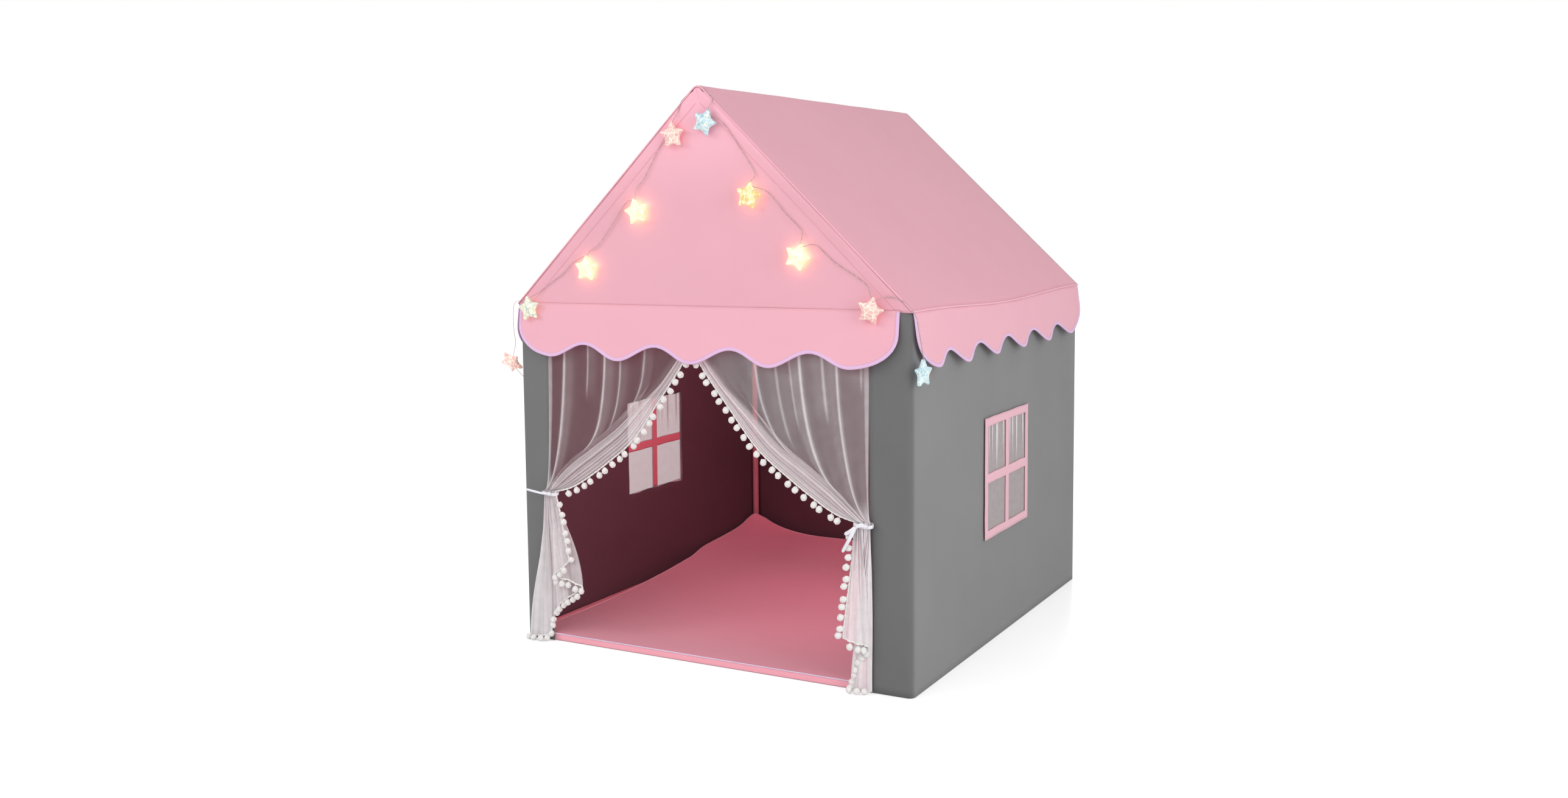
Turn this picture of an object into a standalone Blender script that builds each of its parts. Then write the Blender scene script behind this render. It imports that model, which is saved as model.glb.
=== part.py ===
# Kids play tent: a pole frame, a sewn cover with windows and valances, tied-back
# door curtains with pom-poms, a padded floor mat and a string of star lights.
# Metres, +Z up, the door faces -Y. The origin is on the floor under the middle of the mat.

import math

import bmesh
import bpy
from mathutils import Matrix, Vector

MM = 0.001

# Overall size
WIDTH = 1050 * MM
DEPTH = 1210 * MM
EAVE_HEIGHT = 850 * MM
APEX_HEIGHT = 1358 * MM
EAVE_SAG = 12 * MM

# Cloth and clearances
CLOTH = 2.0 * MM
CLEAR = 0.3 * MM
HEM_LIFT = 0.6 * MM
OVERRUN = 4 * MM

# Poles and the sockets they plug into
POLE_RADIUS = 9.5 * MM
POLE_SIDES = 12
HUB_SIDES = 12
SOCKET_WALL = 1.5 * MM
SOCKET_TURN = math.radians(6.5)
HUB_LIP = 1.2 * MM
SOCKET_DEPTH = 32 * MM
POLE_STOP = 30 * MM
EAVE_STEPS = 8

# Door
LEFT_STRIP = 85 * MM
RIGHT_STRIP = 102 * MM
SEAM_DROP = 4 * MM

# Valances
VALANCE_DROP = 134 * MM
SCALLOP_DEPTH = 36 * MM
VALANCE_TILT = math.radians(7.5)
FRONT_LOBES = 5
SIDE_LOBES = 6
LOBE_STEPS = 8
END_ROUND = 75 * MM
FRONT_END_LEFT = 12 * MM
FRONT_END_RIGHT = 24 * MM
SIDE_END = 4 * MM
END_STEPS = 5

# Windows
WINDOW_Y = 10 * MM
WINDOW_Z = 411 * MM
WINDOW_WIDTH = 284 * MM
WINDOW_HEIGHT = 260 * MM
WINDOW_ROUND = 14 * MM
STRIP_WIDTH = 26 * MM
STRIP_THICK = 1.4 * MM
STRIP_LAP = 6 * MM
MESH_THICK = 1.0 * MM
WINDOW_FOLDS = 7
WINDOW_FOLD_DEPTH = 3.5 * MM
WINDOW_CURTAIN_DROP = 118 * MM
WINDOW_CURTAIN_THICK = 0.8 * MM

# Door curtains
CURTAIN_THICK = 1.0 * MM
CURTAIN_FOLDS = 5
STEPS_PER_FOLD = 4
UPPER_ROWS = 10
LOWER_ROWS = 7
TIE_HEIGHT = 379 * MM
TIE_HALF_WIDTH = 16 * MM
TIE_HALF_DEPTH = 8 * MM
TOP_FOLD_DEPTH = 0.4 * MM
MIDDLE_FOLD_DEPTH = 6 * MM
HEM_FOLD_DEPTH = 9 * MM
MEET_X = -27 * MM
MEET_GAP = 5 * MM
TIE_TAPE = 2 * MM
TIE_ROOM = 4.5 * MM
TAIL_LENGTH = 62 * MM
TAIL_WIDTH = 8 * MM
TAIL_THICK = 1.2 * MM
TAIL_LEANS = {-1: (math.radians(-83),), 1: (math.radians(-62), math.radians(-33))}

# The free edge of a curtain above its tie: share across from the jamb, share down to the tie
FREE_EDGE_SHARES = (
    (1.0, 0.0), (0.985, 0.18), (0.945, 0.28), (0.765, 0.5), (0.6, 0.69),
    (0.42, 0.82), (0.25, 0.925), (0.14, 0.977),
)
# The falls below the ties: share of the fall's spread, share of the tie height down
LEFT_OUTER_FALL_SHARES = (
    (0.0, 0.0), (0.165, 0.156), (0.375, 0.364), (0.49, 0.612), (0.77, 0.828), (1.0, 0.976),
)
LEFT_INNER_FALL_SHARES = (
    (0.0, 0.0), (0.42, 0.137), (0.66, 0.253), (0.83, 0.372), (0.943, 0.53), (1.0, 0.602),
)
RIGHT_OUTER_FALL_SHARES = (
    (0.0, 0.0), (0.1, 0.142), (1.0, 0.285), (0.3, 0.43), (0.0, 0.54), (-0.7, 0.985),
)
RIGHT_INNER_FALL_SHARES = (
    (0.0, 0.0), (0.28, 0.082), (0.44, 0.227), (0.61, 0.375), (0.97, 0.522), (0.8, 0.697),
)
LEFT_OUTER_SPREAD = 76 * MM
LEFT_INNER_SPREAD = 70 * MM
RIGHT_OUTER_SPREAD = 4 * MM
RIGHT_INNER_SPREAD = 36 * MM
NECK = 8 * MM

# Pom-poms
POMPOM_RADIUS = 8.3 * MM
POMPOM_PITCH = 28.5 * MM
POMPOM_THREAD = 4 * MM
TRIM_RADIUS = 1.5 * MM
POMPOM_SIDES = 6
POMPOM_RINGS = 4
TIE_KEEP_CLEAR = 34 * MM

# Floor mat
MAT_THICK = 20 * MM
MAT_EDGE_GAP = 2.4 * MM
MAT_CORNER = 46 * MM
MAT_RISE = 26 * MM
MAT_CORNER_RISE = 12 * MM
MAT_WIDEN = 16 * MM
MAT_CURL = 120 * MM
MAT_BEVEL = 5 * MM
MAT_COLUMN_SHARES = (0.0, 0.035, 0.08, 0.14, 0.25, 0.5, 0.75, 0.86, 0.92, 0.965, 1.0)
MAT_ROW_SHARES = (0.0, 0.12, 0.3, 0.48, 0.62, 0.74, 0.83, 0.9, 0.95, 0.98, 1.0)

# Star lamps
STAR_TIP = 32 * MM
STAR_VALLEY = 17.5 * MM
STAR_HALF_THICK = 11 * MM
STAR_RIM = 3 * MM
STAR_ARMS = 5
STAR_STAND = 0.5 * MM
VALANCE_STAND = 6.5 * MM
TIP_SINK = 7 * MM

# Twisted wire of the lights
WIRE_RADIUS = 0.8 * MM
WIRE_STAND = 1.2 * MM
STEPS_BETWEEN = 2

# Battery case, hung flat on the outside of the left wall; its middle lies behind the front
CASE_LENGTH = 76 * MM
CASE_HEIGHT = 37 * MM
CASE_DEPTH = 21 * MM
CASE_WALL = 2.0 * MM
CASE_FROM_FRONT = 142 * MM
CASE_FROM_EAVE = 228 * MM
COVER_THICK = 1.6 * MM
GROOVE_DEPTH = 0.9 * MM
CELL_RADIUS = 7.1 * MM
CELL_LENGTH = 49 * MM
CELL_NUB_RADIUS = 2.7 * MM
CELL_NUB_LENGTH = 1.4 * MM
CONTACT_THICK = 0.5 * MM
CONTACT_HEIGHT = 11 * MM
SLOT_LENGTH = 9.6 * MM
SLOT_HEIGHT = 4.6 * MM
SLOT_DEPTH = 1.6 * MM
SLIDER_LENGTH = 5 * MM
SLIDER_PROUD = 1.6 * MM
RIB_HEIGHT = 0.5 * MM
RIB_WIDTH = 1.2 * MM
RIB_PITCH = 4 * MM
RIB_COUNT = 4
CASE_ROUND = 1.5 * MM

# The lights along the front gable, from the left eave to the right one. Each entry is a share
# of the half width, a share of the apex height, whether a star hangs there or the wire only
# passes, and the turn of the star's arms in degrees.
GABLE_RUN_SHARES = (
    (-0.916, 0.6163, "eave star", 10), (-0.827, 0.6620, "wire", 0), (-0.676, 0.6959, "wire", 0),
    (-0.573, 0.6900, "star", -4), (-0.552, 0.7334, "wire", 0), (-0.434, 0.7739, "wire", 0),
    (-0.293, 0.7887, "star", 12), (-0.290, 0.8306, "wire", 0),
    (-0.199, 0.8870, "wire", 0), (-0.107, 0.9161, "star", 4),
    (-0.091, 0.9558, "wire", 0), (0.0, 1.0, "over the ridge", 0), (0.100, 0.9543, "wire", 0),
    (0.059, 0.9323, "star", -25), (0.135, 0.9411, "wire", 0), (0.237, 0.8840, "wire", 0),
    (0.280, 0.8115, "star", -12), (0.350, 0.8189, "wire", 0),
    (0.444, 0.7754, "wire", 0), (0.507, 0.7113, "star", -22),
    (0.583, 0.7253, "wire", 0), (0.730, 0.6860, "wire", 0),
    (0.827, 0.6259, "eave star", -15),
)
# The two ends of the string, measured outward and backward from the front corner at the
# eave, and down from the eave: one end climbs from the battery case, the other hangs down.
LEFT_END = (
    (16 * MM, 88 * MM, 224 * MM), (32 * MM, 52 * MM, 192 * MM), (47 * MM, 30 * MM, 154 * MM),
    (35 * MM, 26 * MM, 106 * MM), (21 * MM, 2 * MM, 50 * MM),
    (8 * MM, -9 * MM, 4 * MM), (-12 * MM, -8 * MM, -6 * MM),
)
RIGHT_END = (
    (-32 * MM, -7 * MM, -24 * MM), (-6 * MM, -9 * MM, -7 * MM), (7 * MM, -9 * MM, 10 * MM),
    (13 * MM, -6 * MM, 50 * MM), (19 * MM, -4 * MM, 90 * MM), (23 * MM, 7 * MM, 118 * MM),
)
LEFT_END_STAR = (49 * MM, 32 * MM, 154 * MM)
RIGHT_END_STAR = (23 * MM, 7 * MM, 142 * MM)
LEFT_STAR_LEAN = math.radians(35)
# Over the ridge: the turn round the ridge pole in degrees, then how far down the slope and
# how far back from the front edge
RIDGE_CROSSING = (
    (46, 40 * MM, -1.8 * MM), (46, 16 * MM, 3 * MM), (38, 0 * MM, 10 * MM), (4, 0 * MM, 14 * MM),
    (-38, 0 * MM, 10 * MM), (-46, 16 * MM, 3 * MM), (-46, 40 * MM, -1.8 * MM),
)

# Colours: linear red, green, blue, then roughness
PINK_CLOTH = ("pink_cloth", (0.83, 0.40, 0.46), 0.75)
PALE_PINK = ("pale_pink_cloth", (0.90, 0.52, 0.60), 0.75)
GREY_CLOTH = ("grey_cloth", (0.21, 0.225, 0.23), 0.8)
POLE_PINK = ("pole_pink", (0.62, 0.22, 0.27), 0.45)
CONNECTOR_WHITE = ("connector_white", (0.82, 0.82, 0.82), 0.4)
SHEER_WHITE = ("sheer_white", (0.88, 0.87, 0.88), 0.6)
POMPOM_WHITE = ("pompom_white", (0.86, 0.86, 0.84), 0.9)
RIBBON_WHITE = ("ribbon_white", (0.86, 0.86, 0.9), 0.35)
NET_GREY = ("net_grey", (0.38, 0.31, 0.32), 0.8)
MAT_PINK = ("mat_pink", (0.70, 0.24, 0.30), 0.8)
LAMP_WHITE = ("lamp_white", (0.85, 0.86, 0.82), 0.2)
CASE_WHITE = ("case_white", (0.80, 0.80, 0.78), 0.45)
CELL_GREEN = ("cell_green", (0.14, 0.32, 0.22), 0.4)
CONTACT_METAL = ("contact_metal", (0.60, 0.60, 0.58), 0.3)

# Places worked out from the sizes above
HALF_WIDTH = WIDTH / 2
HALF_DEPTH = DEPTH / 2
FRONT = -HALF_DEPTH
VALANCE_LOW = EAVE_HEIGHT - VALANCE_DROP
CASE_Z = EAVE_HEIGHT - CASE_FROM_EAVE
PITCH = math.atan2(APEX_HEIGHT - EAVE_HEIGHT, HALF_WIDTH)
BORE_RADIUS = (POLE_RADIUS + CLEAR) / math.cos(math.pi / POLE_SIDES)
HUB_RADIUS = BORE_RADIUS + SOCKET_WALL + HUB_LIP
FRAME_INSET = HUB_RADIUS + CLEAR + CLOTH
POST_X = HALF_WIDTH - FRAME_INSET
POST_Y = HALF_DEPTH - FRAME_INSET
FOOT_Z = HUB_RADIUS + CLEAR
HUB_Z = EAVE_HEIGHT - FRAME_INSET * (1 - math.sin(PITCH)) / math.cos(PITCH)
RIDGE_Z = APEX_HEIGHT - FRAME_INSET / math.cos(PITCH)
RIDGE_TOP = RIDGE_Z + FRAME_INSET
SOCKET_REACH = POLE_STOP + SOCKET_DEPTH
SEAM_Z = EAVE_HEIGHT - SEAM_DROP
WALL_TOP = SEAM_Z - CLEAR
SAG_HALF = POST_Y - SOCKET_REACH
EAVE_STATIONS = [SAG_HALF * (2 * step / EAVE_STEPS - 1) for step in range(EAVE_STEPS + 1)]

SCENE = bpy.context.scene


def collection(name):
    """A new collection under the scene's own."""
    group = bpy.data.collections.new(name)
    SCENE.collection.children.link(group)
    return group


for old in list(bpy.data.objects):
    bpy.data.objects.remove(old, do_unlink=True)

PARTS = collection("kids_play_tent")
CUTTERS = collection("cutters")
MATERIALS = {}


def material(look):
    """The Principled material of one look, made once."""
    name, colour, roughness = look
    if name not in MATERIALS:
        made = bpy.data.materials.new(name)
        made.use_nodes = True
        shader = made.node_tree.nodes["Principled BSDF"]
        shader.inputs["Base Color"].default_value = (*colour, 1.0)
        shader.inputs["Roughness"].default_value = roughness
        MATERIALS[name] = made
    return MATERIALS[name]


def add_object(name, data, look, group=None):
    """Link new data as an object, with its own material."""
    made = bpy.data.objects.new(name, data)
    (group or PARTS).objects.link(made)
    if look:
        data.materials.append(material(look))
    return made


def mesh_object(name, bm, look, group=None):
    """Turn a bmesh into an object."""
    mesh = bpy.data.meshes.new(name)
    bm.to_mesh(mesh)
    bm.free()
    return add_object(name, mesh, look, group)


def cutter_object(name, bm):
    """A mesh that only cuts or joins others."""
    made = mesh_object(name, bm, None, CUTTERS)
    made.hide_render = True
    made.display_type = "WIRE"
    return made


def boolean(target, other, operation):
    """Cut other from target, or join it on."""
    change = target.modifiers.new(operation.lower(), "BOOLEAN")
    change.operation = operation
    change.solver = "EXACT"
    change.object = other


def solidify(target, thickness, offset, even):
    """Give an open sheet its thickness: offset -1 inward, 0 both ways, 1 outward."""
    wall = target.modifiers.new("thickness", "SOLIDIFY")
    wall.thickness = thickness
    wall.offset = offset
    wall.use_even_offset = even


def sheet(name, columns, rows, place, thickness, offset, look, even=True):
    """A cloth sheet: place(u, v) gives the point at share u across and share v along."""
    bm = bmesh.new()
    bmesh.ops.create_grid(bm, x_segments=columns, y_segments=rows, size=1)
    for vert in bm.verts:
        vert.co = place((vert.co.x + 1) / 2, (vert.co.y + 1) / 2)
    made = mesh_object(name, bm, look)
    solidify(made, thickness, offset, even)
    return made


def flat_piece(name, outlines, thickness, matrix, look):
    """A flat outline with its holes, thickness centred on the matrix's own XY plane."""
    curve = bpy.data.curves.new(name, "CURVE")
    curve.dimensions = "2D"
    curve.fill_mode = "BOTH"
    curve.extrude = thickness / 2
    for outline in outlines:
        spline = curve.splines.new("POLY")
        spline.points.add(len(outline) - 1)
        for point, (across, up) in zip(spline.points, outline):
            point.co = (across, up, 0, 1)
        spline.use_cyclic_u = True
    made = add_object(name, curve, look)
    made.matrix_world = matrix
    return made


def tube(name, points, radius, resolution, look, cyclic=False):
    """A round tube with filled ends through the points."""
    curve = bpy.data.curves.new(name, "CURVE")
    curve.dimensions = "3D"
    curve.bevel_depth = radius
    curve.bevel_resolution = resolution
    curve.use_fill_caps = not cyclic
    spline = curve.splines.new("POLY")
    spline.points.add(len(points) - 1)
    for point, place in zip(spline.points, points):
        point.co = (*place, 1)
    spline.use_cyclic_u = cyclic
    return add_object(name, curve, look)


def add_box(bm, low, high):
    """Add a box between two corners to a bmesh."""
    size = [b - a for a, b in zip(low, high)]
    middle = [(a + b) / 2 for a, b in zip(low, high)]
    matrix = Matrix.Translation(middle) @ Matrix.Diagonal((*size, 1))
    return bmesh.ops.create_cube(bm, size=1, matrix=matrix)["verts"]


def add_cylinder(bm, start, direction, length, radius, sides, spin=0):
    """Add a closed cylinder that starts at a point and runs along a direction."""
    turn = Vector((0, 0, 1)).rotation_difference(direction).to_matrix().to_4x4()
    turn = turn @ Matrix.Rotation(spin, 4, "Z")
    matrix = Matrix.Translation(start + direction * length / 2) @ turn
    made = bmesh.ops.create_cone(
        bm, cap_ends=True, segments=sides, radius1=radius, radius2=radius,
        depth=length, matrix=matrix)
    return made["verts"]


def curve_point(points, place):
    """The point of a smooth curve through hand-placed points: place counts from 0 to the last."""
    last = len(points) - 1
    cell = min(int(place), last - 1)
    step = place - cell
    before = Vector(points[max(cell - 1, 0)])
    start = Vector(points[cell])
    end = Vector(points[cell + 1])
    after = Vector(points[min(cell + 2, last)])
    return ((2 * start) + (end - before) * step
            + (2 * before - 5 * start + 4 * end - after) * step ** 2
            + (3 * start - before - 3 * end + after) * step ** 3) / 2


def on_curve(points, share):
    """The point at a share of the smooth curve through the points."""
    return curve_point(points, min(max(share, 0), 1) * (len(points) - 1))


def as_mesh(source, look, group=None):
    """Replace a curve object with a welded mesh one, which can be cut and joined."""
    graph = bpy.context.evaluated_depsgraph_get()
    graph.update()
    bm = bmesh.new()
    bm.from_mesh(bpy.data.meshes.new_from_object(source.evaluated_get(graph)))
    bmesh.ops.remove_doubles(bm, verts=bm.verts, dist=CLEAR / SOCKET_REACH * MM)
    name = source.name
    place = source.matrix_world.copy()
    bpy.data.objects.remove(source, do_unlink=True)
    made = mesh_object(name, bm, look, group)
    made.matrix_world = place
    return made


def even_points(points, pitch):
    """Points a pitch apart along a polyline."""
    result = []
    left = pitch
    for start, end in zip(points, points[1:]):
        run = (end - start).length
        done = 0
        while run - done >= left:
            done += left
            result.append(start.lerp(end, done / run))
            left = pitch
        left -= run - done
    return result


# Poles and connectors


def hub(side, end, level):
    """The middle of a connector: side -1 left or 1 right, end -1 front or 1 back."""
    heights = {"foot": FOOT_Z, "eave": HUB_Z, "ridge": RIDGE_Z}
    across = 0 if level == "ridge" else side * POST_X
    return Vector((across, end * POST_Y, heights[level]))


def connector(name, middle, targets):
    """A moulded connector: a round hub with a socket towards each target."""
    bm = bmesh.new()
    bmesh.ops.create_uvsphere(
        bm, u_segments=HUB_SIDES, v_segments=HUB_SIDES // 2, radius=HUB_RADIUS,
        matrix=Matrix.Translation(middle))
    body = mesh_object(name, bm, CONNECTOR_WHITE)
    bores = bmesh.new()
    for number, target in enumerate(targets):
        direction = (target - middle).normalized()
        spin = SOCKET_TURN * (number + 1)
        socket = bmesh.new()
        add_cylinder(socket, middle + direction * SOCKET_WALL, direction, SOCKET_REACH - SOCKET_WALL,
                     BORE_RADIUS + SOCKET_WALL, POLE_SIDES, spin)
        boolean(body, cutter_object(f"{name}_socket_{number}", socket), "UNION")
        add_cylinder(bores, middle + direction * POLE_STOP, direction,
                     SOCKET_DEPTH + OVERRUN, BORE_RADIUS, POLE_SIDES, spin)
    boolean(body, cutter_object(f"{name}_bores", bores), "DIFFERENCE")
    return body


def eave_drop(y):
    """How far the eave sags between its corner sockets."""
    share = min(max((y + SAG_HALF) / (2 * SAG_HALF), 0), 1)
    return EAVE_SAG * math.sin(math.pi * share) ** 2


def pole(name, start, end, sagging=False):
    """A pole between two hubs, stopped just short of the socket floors."""
    direction = (end - start).normalized()
    points = [start + direction * (POLE_STOP + CLEAR)]
    if sagging:
        points += [Vector((start.x, y, start.z - eave_drop(y))) for y in EAVE_STATIONS]
    points.append(end - direction * (POLE_STOP + CLEAR))
    return tube(name, points, POLE_RADIUS, POLE_SIDES // 2 - 2, POLE_PINK)


SIDES = (("left", -1), ("right", 1))
ENDS = (("front", -1), ("back", 1))

for end_name, end in ENDS:
    for side_name, side in SIDES:
        foot = hub(side, end, "foot")
        eave = hub(side, end, "eave")
        ridge = hub(side, end, "ridge")
        foot_targets = [eave, hub(side, -end, "foot")]
        if end_name == "back":
            foot_targets.append(hub(-side, end, "foot"))
        connector(f"foot_connector_{end_name}_{side_name}", foot, foot_targets)
        connector(f"eave_connector_{end_name}_{side_name}", eave,
                  [foot, ridge, hub(side, -end, "eave"), hub(-side, end, "eave")])
        pole(f"upright_{end_name}_{side_name}", foot, eave)
        pole(f"rafter_{end_name}_{side_name}", eave, ridge)
    connector(f"ridge_connector_{end_name}", hub(0, end, "ridge"),
              [hub(-1, end, "eave"), hub(1, end, "eave"), hub(0, -end, "ridge")])
    pole(f"eave_rail_{end_name}", hub(-1, end, "eave"), hub(1, end, "eave"))
pole("ridge_pole", hub(0, -1, "ridge"), hub(0, 1, "ridge"))
pole("base_rail_back", hub(-1, 1, "foot"), hub(1, 1, "foot"))
for side_name, side in SIDES:
    pole(f"eave_rail_{side_name}", hub(side, -1, "eave"), hub(side, 1, "eave"), sagging=True)
    pole(f"base_rail_{side_name}", hub(side, -1, "foot"), hub(side, 1, "foot"))


# Roof cover and gables


def arc(middle_x, middle_y, radius, start, end, steps):
    """Points on an arc, angles in radians."""
    result = []
    for step in range(steps + 1):
        angle = start + (end - start) * step / steps
        result.append((middle_x + radius * math.cos(angle), middle_y + radius * math.sin(angle)))
    return result


ROOF_ARC_STEPS = 6
ROOF_SLOPE_STEPS = 3
slope_foot = (HALF_WIDTH + CLOTH / 2, EAVE_HEIGHT - CLOTH / 2 * math.tan(PITCH))
ridge_arc = arc(0, RIDGE_Z, FRAME_INSET, math.pi / 2 - PITCH, math.pi / 2 + PITCH, ROOF_ARC_STEPS)
slope_head = ridge_arc[0]
right_slope = [
    (slope_foot[0] + (slope_head[0] - slope_foot[0]) * step / ROOF_SLOPE_STEPS,
     slope_foot[1] + (slope_head[1] - slope_foot[1]) * step / ROOF_SLOPE_STEPS)
    for step in range(ROOF_SLOPE_STEPS)
]
roof_profile = right_slope + ridge_arc + [(-x, z) for x, z in reversed(right_slope)]


roof_rows = [FRONT] + EAVE_STATIONS + [HALF_DEPTH]


def roof_place(u, v):
    """Across the roof from the right eave to the left one, and from front to back."""
    x, z = roof_profile[round(u * (len(roof_profile) - 1))]
    y = roof_rows[round(v * (len(roof_rows) - 1))]
    return Vector((x, y, z - eave_drop(y) * (abs(x) / HALF_WIDTH) ** 2))


sheet("roof_cover", len(roof_profile) - 1, len(roof_rows) - 1, roof_place, CLOTH, 1, PINK_CLOTH)

UPRIGHT_FRONT = Matrix.Rotation(math.pi / 2, 4, "X")
under_roof = (CLOTH + CLEAR) / math.cos(PITCH)
gable_foot = (APEX_HEIGHT - under_roof - SEAM_Z) / math.tan(PITCH)
gable_outline = [(-gable_foot, SEAM_Z), (gable_foot, SEAM_Z)]
gable_outline += arc(0, RIDGE_Z, HUB_RADIUS, math.pi / 2 - PITCH, math.pi / 2 + PITCH, ROOF_ARC_STEPS)
for end_name, end in ENDS:
    plane = Matrix.Translation((0, end * (HALF_DEPTH - CLOTH / 2), 0)) @ UPRIGHT_FRONT
    flat_piece(f"gable_{end_name}", [gable_outline], CLOTH, plane, PALE_PINK)


# Walls, each side wall wrapping round its corner poles

WALL_ARC_STEPS = 5


def wall_plan(side, strip):
    """The plan of a side wall's outer face, from its door jamb round to the back seam."""
    jamb = (side * (HALF_WIDTH - strip), FRONT)
    front_turn = arc(POST_X, -POST_Y, FRAME_INSET, -math.pi / 2, 0, WALL_ARC_STEPS)
    back_turn = arc(POST_X, POST_Y, FRAME_INSET, 0, math.pi / 2, WALL_ARC_STEPS)
    straight = [(HALF_WIDTH, y) for y in EAVE_STATIONS]
    return [jamb] + [(side * x, y) for x, y in front_turn + straight + back_turn]


def rounded_box(width, height, radius, steps, middle=(0, 0)):
    """A rectangle outline with round corners."""
    points = []
    corners = ((1, 1, 0), (-1, 1, 1), (-1, -1, 2), (1, -1, 3))
    for along, up, turn in corners:
        points += arc(middle[0] + along * (width / 2 - radius), middle[1] + up * (height / 2 - radius),
                      radius, turn * math.pi / 2, (turn + 1) * math.pi / 2, steps)
    return points


CORNER_STEPS = 3


def side_plane(side, distance):
    """A plane parallel to a side wall: its X runs along the wall, its Y runs up."""
    turn = Matrix(((0, 0, 1, 0), (1, 0, 0, 0), (0, 1, 0, 0), (0, 0, 0, 1)))
    return Matrix.Translation((side * distance, 0, 0)) @ turn


def side_wall(name, side, strip):
    """One side wall with its rounded window opening."""
    plan = wall_plan(side, strip)

    def place(u, v):
        x, y = plan[round(u * (len(plan) - 1))]
        return Vector((x, y, HEM_LIFT + (WALL_TOP - eave_drop(y) - HEM_LIFT) * v))

    made = sheet(name, len(plan) - 1, 1, place, CLOTH, -side, GREY_CLOTH)
    hole = rounded_box(WINDOW_WIDTH, WINDOW_HEIGHT, WINDOW_ROUND, CORNER_STEPS, (WINDOW_Y, WINDOW_Z))
    punch = flat_piece(f"{name}_opening", [hole], CLOTH + 2 * OVERRUN,
                       side_plane(side, HALF_WIDTH - CLOTH / 2), None)
    cutter = as_mesh(punch, None, CUTTERS)
    cutter.hide_render = True
    cutter.display_type = "WIRE"
    boolean(made, cutter, "DIFFERENCE")
    return made


side_wall("wall_left", -1, LEFT_STRIP)
side_wall("wall_right", 1, RIGHT_STRIP)

back_half = POST_X - 2 * CLEAR
back_corners = [(-back_half, HEM_LIFT), (back_half, HEM_LIFT), (back_half, WALL_TOP), (-back_half, WALL_TOP)]
flat_piece("wall_back", [back_corners], CLOTH,
           Matrix.Translation((0, HALF_DEPTH - CLOTH / 2, 0)) @ UPRIGHT_FRONT, GREY_CLOTH)


# Valances


def scalloped_outline(start, end, lobes, top_edge):
    """A valance below its given top edge: straight down, then its rounded ends and lobes."""
    low = VALANCE_LOW - EAVE_HEIGHT
    span = end - start
    steps = lobes * LOBE_STEPS
    half_lobe = span / lobes / 2
    round_foot = low + END_ROUND
    outline = list(reversed(top_edge))
    for step in range(END_STEPS):
        angle = math.pi / 2 * step / END_STEPS
        outline.append((start + half_lobe * (1 - math.cos(angle)), round_foot - END_ROUND * math.sin(angle)))
    for step in range(LOBE_STEPS // 2, steps - LOBE_STEPS // 2 + 1):
        phase = 2 * math.pi * (step / LOBE_STEPS)
        outline.append((start + span * step / steps, low + SCALLOP_DEPTH * (1 + math.cos(phase)) / 2))
    for step in range(END_STEPS - 1, -1, -1):
        angle = math.pi / 2 * step / END_STEPS
        outline.append((end - half_lobe * (1 - math.cos(angle)), round_foot - END_ROUND * math.sin(angle)))
    return outline


def valance(name, outline, turn, middle):
    """A valance sheet: hung from its top edge and tilted out at the bottom."""
    tilt = Matrix.Rotation(-VALANCE_TILT, 4, "X")
    lay = Matrix.Translation(middle) @ turn @ tilt @ Matrix.Translation((0, 0, CLOTH / 2 + CLEAR))
    return flat_piece(name, [outline], CLOTH, lay, PALE_PINK)


front_left = -HALF_WIDTH + FRONT_END_LEFT
front_right = HALF_WIDTH - FRONT_END_RIGHT
front_corners = [(front_left, CLEAR), (front_right, CLEAR)]
front_outline = scalloped_outline(front_left, front_right, FRONT_LOBES, front_corners)
valance("valance_front", front_outline, UPRIGHT_FRONT, (0, FRONT, EAVE_HEIGHT))
back_corners = [(-front_right, CLEAR), (front_right, CLEAR)]
back_outline = scalloped_outline(-front_right, front_right, FRONT_LOBES, back_corners)
upright_back = Matrix.Rotation(math.pi, 4, "Z") @ UPRIGHT_FRONT
valance("valance_back", back_outline, upright_back, (0, HALF_DEPTH, EAVE_HEIGHT))
under_edge = -(CLOTH + CLEAR) / math.cos(PITCH)
side_half = HALF_DEPTH - SIDE_END
side_stations = [-side_half] + EAVE_STATIONS + [side_half]
side_top = [(y, under_edge - eave_drop(y)) for y in side_stations]
side_outline = scalloped_outline(-side_half, side_half, SIDE_LOBES, side_top)
for side_name, side in SIDES:
    valance(f"valance_{side_name}", side_outline, Matrix.Rotation(side * math.pi / 2, 4, "Z") @ UPRIGHT_FRONT,
            (side * HALF_WIDTH, 0, EAVE_HEIGHT))


# Windows: a sewn frame outside, a net in the opening, a gathered curtain inside


def window_outlines():
    """The frame's outer edge and its four panes."""
    outer_width = WINDOW_WIDTH - 2 * STRIP_LAP + 2 * STRIP_WIDTH
    outer_height = WINDOW_HEIGHT - 2 * STRIP_LAP + 2 * STRIP_WIDTH
    outlines = [rounded_box(outer_width, outer_height, STRIP_LAP / 2, 1, (WINDOW_Y, WINDOW_Z))]
    pane_width = (WINDOW_WIDTH - 2 * STRIP_LAP - STRIP_WIDTH) / 2
    pane_height = (WINDOW_HEIGHT - 2 * STRIP_LAP - STRIP_WIDTH) / 2
    for along in (-1, 1):
        for up in (-1, 1):
            middle = (WINDOW_Y + along * (pane_width + STRIP_WIDTH) / 2,
                      WINDOW_Z + up * (pane_height + STRIP_WIDTH) / 2)
            outlines.append(rounded_box(pane_width, pane_height, STRIP_LAP / 2, 1, middle))
    return outlines


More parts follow.
